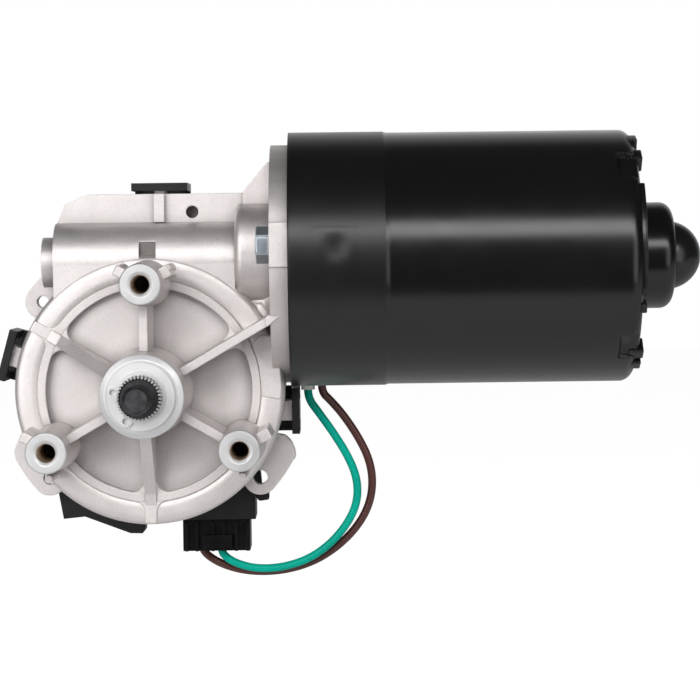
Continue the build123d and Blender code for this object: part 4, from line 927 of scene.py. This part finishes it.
    def build(self) -> None:
        """Makes the cast details."""
        metal = "cast_aluminium"
        sides = (-1.0, 1.0)
        corners = [self.corner(angle, side) for angle in self.corner_angles for side in sides]
        corners += [self.corner(angle, side, True) for angle in self.run_angles for side in sides]
        self.shop.put("boss_nubs", joined([self.nub(*nub) for nub in self.nubs]), metal)
        self.shop.put("pocket_corners", joined(corners), metal)
        for block in self.first_blocks:
            block.build(self.shop)
        self.shop.put("flange_fillet", self.fillet(), metal, smooth=True)
        self.shop.put("case_shoulder", self.ring(), metal, smooth=True)
        self.shop.put("rib_runs", joined([self.run(angle) for angle in self.run_angles]), metal)
        self.shop.put("tunnel_front", self.tunnel_front(), metal)
        for block in self.last_blocks:
            block.build(self.shop)


@dataclass
class CanDetails(Details):
    """The lanced segments round the can's closed end, and the painted skins over its two dimples.

    Each form has a second one half a turn round the motor's axis.
    """

    segments: tuple[tuple[float, ...], ...] = (
        (-18.5, 36.0, 26.0, 33.6, 1.0), (50.5, 57.0, 30.0, 34.6, 1.2), (65.5, 71.0, 31.0, 35.3, 0.7),
        (-27.0, -23.0, 30.0, 34.0, 1.0), (-54.0, -49.0, 30.0, 34.8, 1.1), (-62.5, -57.5, 30.5, 35.2, 0.8),
    )
    half_turn: float = 180.0
    step_degrees: float = 3.0
    least_steps: int = 4
    end: float = 135.5
    sink: float = 3.2
    dimple_reach: tuple[float, float, float, float] = (45.5, 59.5, 31.0, 46.0)
    dimple_grid: tuple[int, int] = (90, 96)
    dimple_x: Span = (47.7, 57.2)
    dimple_z: Span = (33.8, 44.2)
    dimple_ease: Span = (4.7, 5.0)
    dimple_sink: float = 0.36
    dimple_back: float = 1.2
    rim_drop: float = 0.1
    rim_width: float = 2.0
    mouth_r: float = 35.81

    def segment(
        self, low: float, high: float, inner: float, outer: float, rise: float, turned: float
    ) -> Surface:
        """One raised segment of a ring.

        Args:
            low: The angle where it starts, from the front towards the top.
            high: The angle where it ends.
            inner: Its inner radius in millimetres.
            outer: Its outer radius.
            rise: How far it stands beyond the can's end.
            turned: An angle added to both.

        Returns:
            Points and faces.
        """
        steps = max(self.least_steps, int((high - low) / self.step_degrees))
        sweep = np.radians(np.linspace(low, high, steps) + turned)
        arms = np.concatenate([np.full(steps, outer), np.full(steps, inner)])
        angles = np.concatenate([sweep, sweep[::-1]])
        outline = np.column_stack([-arms * np.cos(angles), arms * np.sin(angles)]) + MOTOR_Y / MM
        return raised_block(outline, (self.end + rise, self.end - self.sink), edge=0.35, facing=Facing.END)

    def dimple(self) -> Surface:
        """The painted skin over the front dimple.

        Its depth is the can's own, sinking by eased steps from all four sides: 3t squared less
        2t cubed. At its border it drops below the can's surface.

        Returns:
            Points and faces.
        """
        left, right, low, high = self.dimple_reach
        across, up = grid((left, right), (low, high), self.dimple_grid)
        shell = MOTOR_Y / MM - np.sqrt(self.mouth_r**2 - (up - MOTOR_Z / MM) ** 2)
        inward = np.minimum(across - self.dimple_x[0], self.dimple_x[1] - across) / self.dimple_ease[0]
        upward = np.minimum(up - self.dimple_z[0], self.dimple_z[1] - up) / self.dimple_ease[1]
        share = np.clip(np.stack([inward, upward]), 0.0, 1.0)
        front = shell + self.dimple_sink * np.prod(3 * share**2 - 2 * share**3, axis=0)
        border = np.minimum(np.minimum(across - left, right - across), np.minimum(up - low, high - up))
        front = front + self.rim_drop * np.clip(1.0 - border / self.rim_width, 0.0, 1.0) ** 2
        return slab(across, up, front, shell + self.dimple_back)

    def build(self) -> None:
        """Makes the segments as one piece, and the two skins."""
        turns = (0.0, self.half_turn)
        parts = [self.segment(*each, turned) for each in self.segments for turned in turns]
        self.shop.put("can_end_tabs", joined(parts), "black_enamel")
        points, faces = self.dimple()
        for name, places in (("front_dimple", points), ("rear_dimple", half_turned(points))):
            self.shop.put(name, (places, faces), "soft_enamel", "black_enamel", smooth=True)


@dataclass
class Serration(Details):
    """The rubbed front ends of the output shaft's teeth."""

    teeth: int = 36
    inner: float = 5.25
    outer: float = 5.98
    half_angles: Span = (2.6, 2.9)
    depths: Span = (-9.3, -7.4)

    def build(self) -> None:
        """Makes a block for each tooth, as one piece on the output shaft."""
        arms = np.array([self.inner, self.inner, self.outer, self.outer])
        spread = np.radians(np.array([-1, 1, 1, -1]) * np.repeat(self.half_angles, 2))
        blocks = []
        for tooth in range(self.teeth):
            angle = spread + FULL_TURN * tooth / self.teeth
            outline = np.column_stack([arms * np.cos(angle), arms * np.sin(angle)])
            blocks.append(raised_block(outline, self.depths, edge=0.12))
        self.shop.put("tooth_ends", joined(blocks), "rubbed_steel", "dark_steel", Body.OUTPUT)


BOLT_FLATS = Block(
    "bolt_flats", ((30.6, 37.6), (34.5, 37.6), (34.5, 42.7), (30.6, 42.7)), (7.3, 7.9), rounding=0.9,
    edge=0.45, finish="zinc_steel", pair=True,
)
COVER_TAB = Block("cover_tab", (
    (26.0, -24.6), (29.9, -25.0), (30.4, -31.0), (32.3, -31.2), (32.3, -33.6), (29.4, -34.0), (26.0, -30.0),
), (48.4, 52.2), rounding=0.5, finish="black_plastic")


@dataclass
class StudioCamera:
    """The camera, level with the upper part of the gear housing and turned a little down."""

    place: Point = (52.87 * MM, -600.0 * MM, 39.4 * MM)
    image: int = 700
    focal_pixels: float = 2243.0
    level_x: float = 337.0
    level_y: float = 247.0
    roll: float = math.radians(0.7)
    sensor: float = 36.0

    def build(self) -> None:
        """Makes the camera.

        The point of the picture where depth vanishes gives the turn: the line of sight is the
        level direction plus the middle of the picture's offset from that point, over the focal
        length. The roll turns the picture's own axes about that line.
        """
        data = bpy.data.cameras.new("studio_camera")
        data.sensor_width = self.sensor
        data.lens = self.focal_pixels / self.image * self.sensor
        across = self.image / 2 - self.level_x
        down = self.image / 2 - self.level_y
        right = Vector((math.cos(self.roll), 0.0, -math.sin(self.roll)))
        up = Vector((math.sin(self.roll), 0.0, math.cos(self.roll)))
        sight = (Vector((0.0, self.focal_pixels, 0.0)) + right * across - up * down).normalized()
        right = sight.cross(up).normalized()
        up = right.cross(sight)
        camera = linked("studio_camera", data)
        turn = Matrix((right, up, -sight)).transposed().to_4x4()
        camera.matrix_world = Matrix.Translation(self.place) @ turn
        bpy.context.scene.camera = camera


@dataclass(frozen=True)
class Lamp:
    """A soft rectangular lamp: its place, what it points at, its width and height, and its watts."""

    name: str
    place: Point
    aim: Point
    size: Span
    power: float

    def build(self) -> None:
        """Makes the lamp."""
        data = bpy.data.lights.new(self.name, "AREA")
        data.shape = "RECTANGLE"
        data.size, data.size_y = self.size
        data.energy = self.power
        lamp = linked(self.name, data)
        lamp.location = self.place
        lamp.rotation_euler = (Vector(self.aim) - Vector(self.place)).to_track_quat("-Z", "Y").to_euler()


@dataclass
class Studio:
    """The plain room: a pale floor, a world that is white behind the motor, and soft lamps."""

    floor_z: float = -250.0 * MM
    floor_front: float = -420.0 * MM
    floor_size: float = 6.0
    floor_colour: Colour = (0.8, 0.8, 0.8)
    floor_lift: float = 0.85
    floor_glow: float = 0.2
    ambient: float = 0.16
    front_grey: float = 0.06
    white_start: float = 0.52
    lamps: tuple[Lamp, ...] = (
        Lamp("strip_lamp", (90 * MM, -1.05, 0.56), (90 * MM, 0.0, MOTOR_Z), (1.8, 0.26), 9.5),
        Lamp("key_lamp", (-0.75, -1.15, 0.2), (60 * MM, 0.0, 30 * MM), (1.0, 1.0), 9.0),
        Lamp("fill_lamp", (0.95, -1.1, 0.0), (60 * MM, 0.0, 30 * MM), (0.8, 1.0), 4.0),
    )

    def shown(self, graph: Graph) -> tuple[Socket, Socket]:
        """Two switches: one for the rays that the eye sends, one for those of metal and glass.

        Args:
            graph: The nodes that they join.

        Returns:
            Both switches, 1 for such a ray and else 0.
        """
        rays = graph.add("ShaderNodeLightPath").outputs
        mirrored = graph.sum_of("MAXIMUM", rays["Is Glossy Ray"], rays["Is Transmission Ray"])
        return rays["Is Camera Ray"], mirrored

    def world(self) -> None:
        """White to the eye everywhere, and white to metal and glass behind the motor."""
        world = bpy.data.worlds.new("studio")
        bpy.context.scene.world = world
        graph = Graph(world)
        camera, mirrored = self.shown(graph)
        behind = graph.spread(
            graph.part(graph.place("Generated"), "Y"), self.front_grey, 1.0, self.white_start, 1.0
        )
        strength = graph.blend(camera, graph.blend(mirrored, self.ambient, behind), 1.0)
        light = graph.add("ShaderNodeBackground", {"Color": (1.0, 1.0, 1.0, 1.0), "Strength": strength})
        graph.show(light.outputs["Background"])

    def floor(self) -> None:
        """A pale floor that ends a little in front of the motor, lifted towards white to the eye."""
        half = self.floor_size / 2
        front, back = self.floor_front, self.floor_front + self.floor_size
        corners = [(-half, front, self.floor_z), (half, front, self.floor_z),
                   (half, back, self.floor_z), (-half, back, self.floor_z)]
        mesh = bpy.data.meshes.new("studio_floor")
        mesh.from_pydata(corners, [], [(0, 1, 2, 3)])
        piece = linked("studio_floor", mesh)
        material = bpy.data.materials.new("studio_floor")
        graph = Graph(material)
        camera, mirrored = self.shown(graph)
        seen = graph.sum_of("MULTIPLY", camera, self.floor_lift)
        glow = graph.sum_of("MULTIPLY", mirrored, self.floor_glow)
        matt = graph.add("ShaderNodeBsdfDiffuse", {"Color": (*self.floor_colour, 1.0)})
        lift = graph.add("ShaderNodeEmission", {"Strength": graph.sum_of("ADD", seen, glow)})
        inputs = {0: matt.outputs["BSDF"], 1: lift.outputs["Emission"]}
        graph.show(graph.add("ShaderNodeAddShader", inputs).outputs["Shader"])
        mesh.materials.append(material)

    def build(self) -> None:
        """Makes the world, the floor and the lamps."""
        bpy.context.scene.view_settings.view_transform = "Standard"
        self.world()
        self.floor()
        for lamp in self.lamps:
            lamp.build()


@dataclass
class Leads(Details):
    """The two leads from the grommet under the can to the plug."""

    radius: float = 1.18 * MM
    teal_length: float = 90.26 * MM
    brown_length: float = 101.8 * MM
    teal_route: tuple[Point, ...] = (
        (44.0, 47.0, -1.6), (44.0, 47.0, -4.2), (46.9, 47.7, -8.2), (51.2, 48.6, -14.4),
        (55.3, 49.6, -21.2), (57.9, 50.5, -27.8), (58.0, 51.3, -34.6), (55.2, 52.0, -41.0),
        (50.0, 52.6, -47.2), (43.4, 53.0, -51.8), (35.4, 53.4, -54.2), (28.0, 53.7, -54.4),
        (22.4, 53.9, -52.9), (19.1, 54.0, -50.9), (17.8, 54.0, -48.7), (17.8, 54.0, -46.2),
    )
    brown_route: tuple[Point, ...] = (
        (48.0, 49.6, -0.4), (48.0, 49.6, -2.6), (50.4, 50.2, -5.0), (54.0, 51.1, -9.2),
        (58.2, 52.2, -15.6), (61.5, 53.3, -22.4), (62.6, 54.2, -29.4), (61.4, 54.9, -36.4),
        (57.6, 55.4, -43.0), (51.4, 55.8, -49.0), (43.8, 56.1, -53.4), (34.9, 56.3, -55.6),
        (26.0, 56.4, -55.6), (19.0, 56.4, -53.8), (14.3, 56.3, -51.2), (12.1, 56.3, -48.7),
        (12.1, 56.3, -46.2),
    )
    bevel_steps: int = 6
    steps_each_point: int = 8

    def lead(self, name: str, node: str, route: tuple[Point, ...]) -> bpy.types.Object:
        """Makes one lead as a smooth curve with the route's points as its control points.

        Args:
            name: The piece's name.
            node: The CAD node that it stands for.
            route: The route's points in millimetres.

        Returns:
            The lead.
        """
        curve = bpy.data.curves.new(name, "CURVE")
        curve.dimensions = "3D"
        curve.bevel_depth = 1.0
        curve.bevel_resolution = self.bevel_steps
        curve.resolution_u = self.steps_each_point
        curve.use_fill_caps = True
        spline = curve.splines.new("NURBS")
        spline.points.add(len(route) - 1)
        places = np.column_stack([np.array(route) * MM, np.ones(len(route))])
        spline.points.foreach_set("co", places.ravel())
        spline.points.foreach_set("radius", np.full(len(route), self.radius))
        spline.order_u = 3
        spline.use_endpoint_u = True
        piece = linked(name, curve)
        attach(piece, Body.HOUSING.value)
        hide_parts(node)
        return piece

    def build(self) -> None:
        for name, node, route, length, finish in (
            ("teal_lead", "lead_teal", self.teal_route, self.teal_length, "teal_insulation"),
            ("brown_lead", "lead_brown", self.brown_route, self.brown_length, "brown_insulation"),
        ):
            lead = self.lead(name, node, route)
            self.shop.dress(lead, finish)


@dataclass
class Threads(Details):
    """The threads in the three mounting bosses and on the output stub."""

    bolt_circle_r: float = 30.0 * MM
    boss_angles: tuple[float, ...] = (90.0, 210.0, 330.0)
    boss_bore_r: float = 2.6 * MM
    boss_crest_r: float = 2.35 * MM
    boss_depths: Span = (1.2 * MM, 16.0 * MM)
    boss_pitch: float = 1.0 * MM
    stub_r: float = 3.75 * MM
    stub_crest_r: float = 3.95 * MM
    stub_depths: Span = (-15.9 * MM, -10.4 * MM)
    stub_pitch: float = 1.25 * MM
    half_foot: float = 0.4
    half_crest: float = 0.07
    foot_sink: float = 0.03 * MM
    least_fade: float = 0.02
    steps_each_turn: int = 36

    def ridge(self, centre: Point, radii: Span, depths: Span, pitch: float) -> Surface:
        """A screw thread's ridge on a bore or a stub that runs along Y.

        At turn t the ridge stands at the start depth plus t times the pitch. Its section is a low
        trapezium from the foot radius to the crest radius, with its half widths given as shares
        of the pitch, and it fades in and out over the first and last half turn.

        Args:
            centre: A point on the axis.
            radii: The foot and the crest radius.
            depths: The start and the end along Y.
            pitch: The rise of one turn.

        Returns:
            The points in metres, and the faces.
        """
        turns = (depths[1] - depths[0]) / pitch
        steps = int(abs(turns) * self.steps_each_turn)
        turn = np.linspace(0.0, abs(turns), steps)
        angle = turn * FULL_TURN
        fade = np.clip(np.minimum(turn, abs(turns) - turn) * 2.0, self.least_fade, 1.0)
        crest = radii[1]
        foot = radii[0] + math.copysign(self.foot_sink, radii[0] - crest)
        reach = np.array([foot, crest, crest, foot])
        width = np.array([-self.half_foot, -self.half_crest, self.half_crest, self.half_foot]) * pitch
        radius = foot + fade[:, None] * (reach - foot)[None, :]
        along = depths[0] + turn[:, None] * pitch * np.sign(turns) + fade[:, None] * width[None, :]
        points = np.stack(
            [centre[0] + radius * np.cos(angle)[:, None], centre[1] + along,
             centre[2] + radius * np.sin(angle)[:, None]], axis=-1,
        )
        return points.reshape(-1, 3), ring_faces(steps, len(reach))

    def build(self) -> None:
        """Makes the four thread ridges."""
        for number, degrees in enumerate(self.boss_angles, start=1):
            angle = math.radians(degrees)
            centre = (self.bolt_circle_r * math.cos(angle), 0.0, self.bolt_circle_r * math.sin(angle))
            radii = (self.boss_bore_r, self.boss_crest_r)
            ridge = self.ridge(centre, radii, self.boss_depths, self.boss_pitch)
            self.shop.put(f"boss_thread_{number}", ridge, "tapped_metal", "cast_aluminium")
        radii = (self.stub_r, self.stub_crest_r)
        stub = self.ridge((0.0, 0.0, 0.0), radii, self.stub_depths, self.stub_pitch)
        self.shop.put("stub_thread", stub, "dark_steel", body=Body.OUTPUT)


def main() -> None:
    """Builds everything in order."""
    logging.basicConfig(level=logging.INFO, format="%(name)s: %(message)s")
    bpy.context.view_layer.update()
    shop = Workshop()
    StudioCamera().build()
    Leads(shop).build()
    Studio().build()
    shop.dress_nodes()
    Threads(shop).build()
    CastDetails(shop).build()
    CanDetails(shop).build()
    BOLT_FLATS.build(shop)
    Serration(shop).build()
    COVER_TAB.build(shop)
    bpy.context.view_layer.update()


if __name__ == "__main__":
    main()
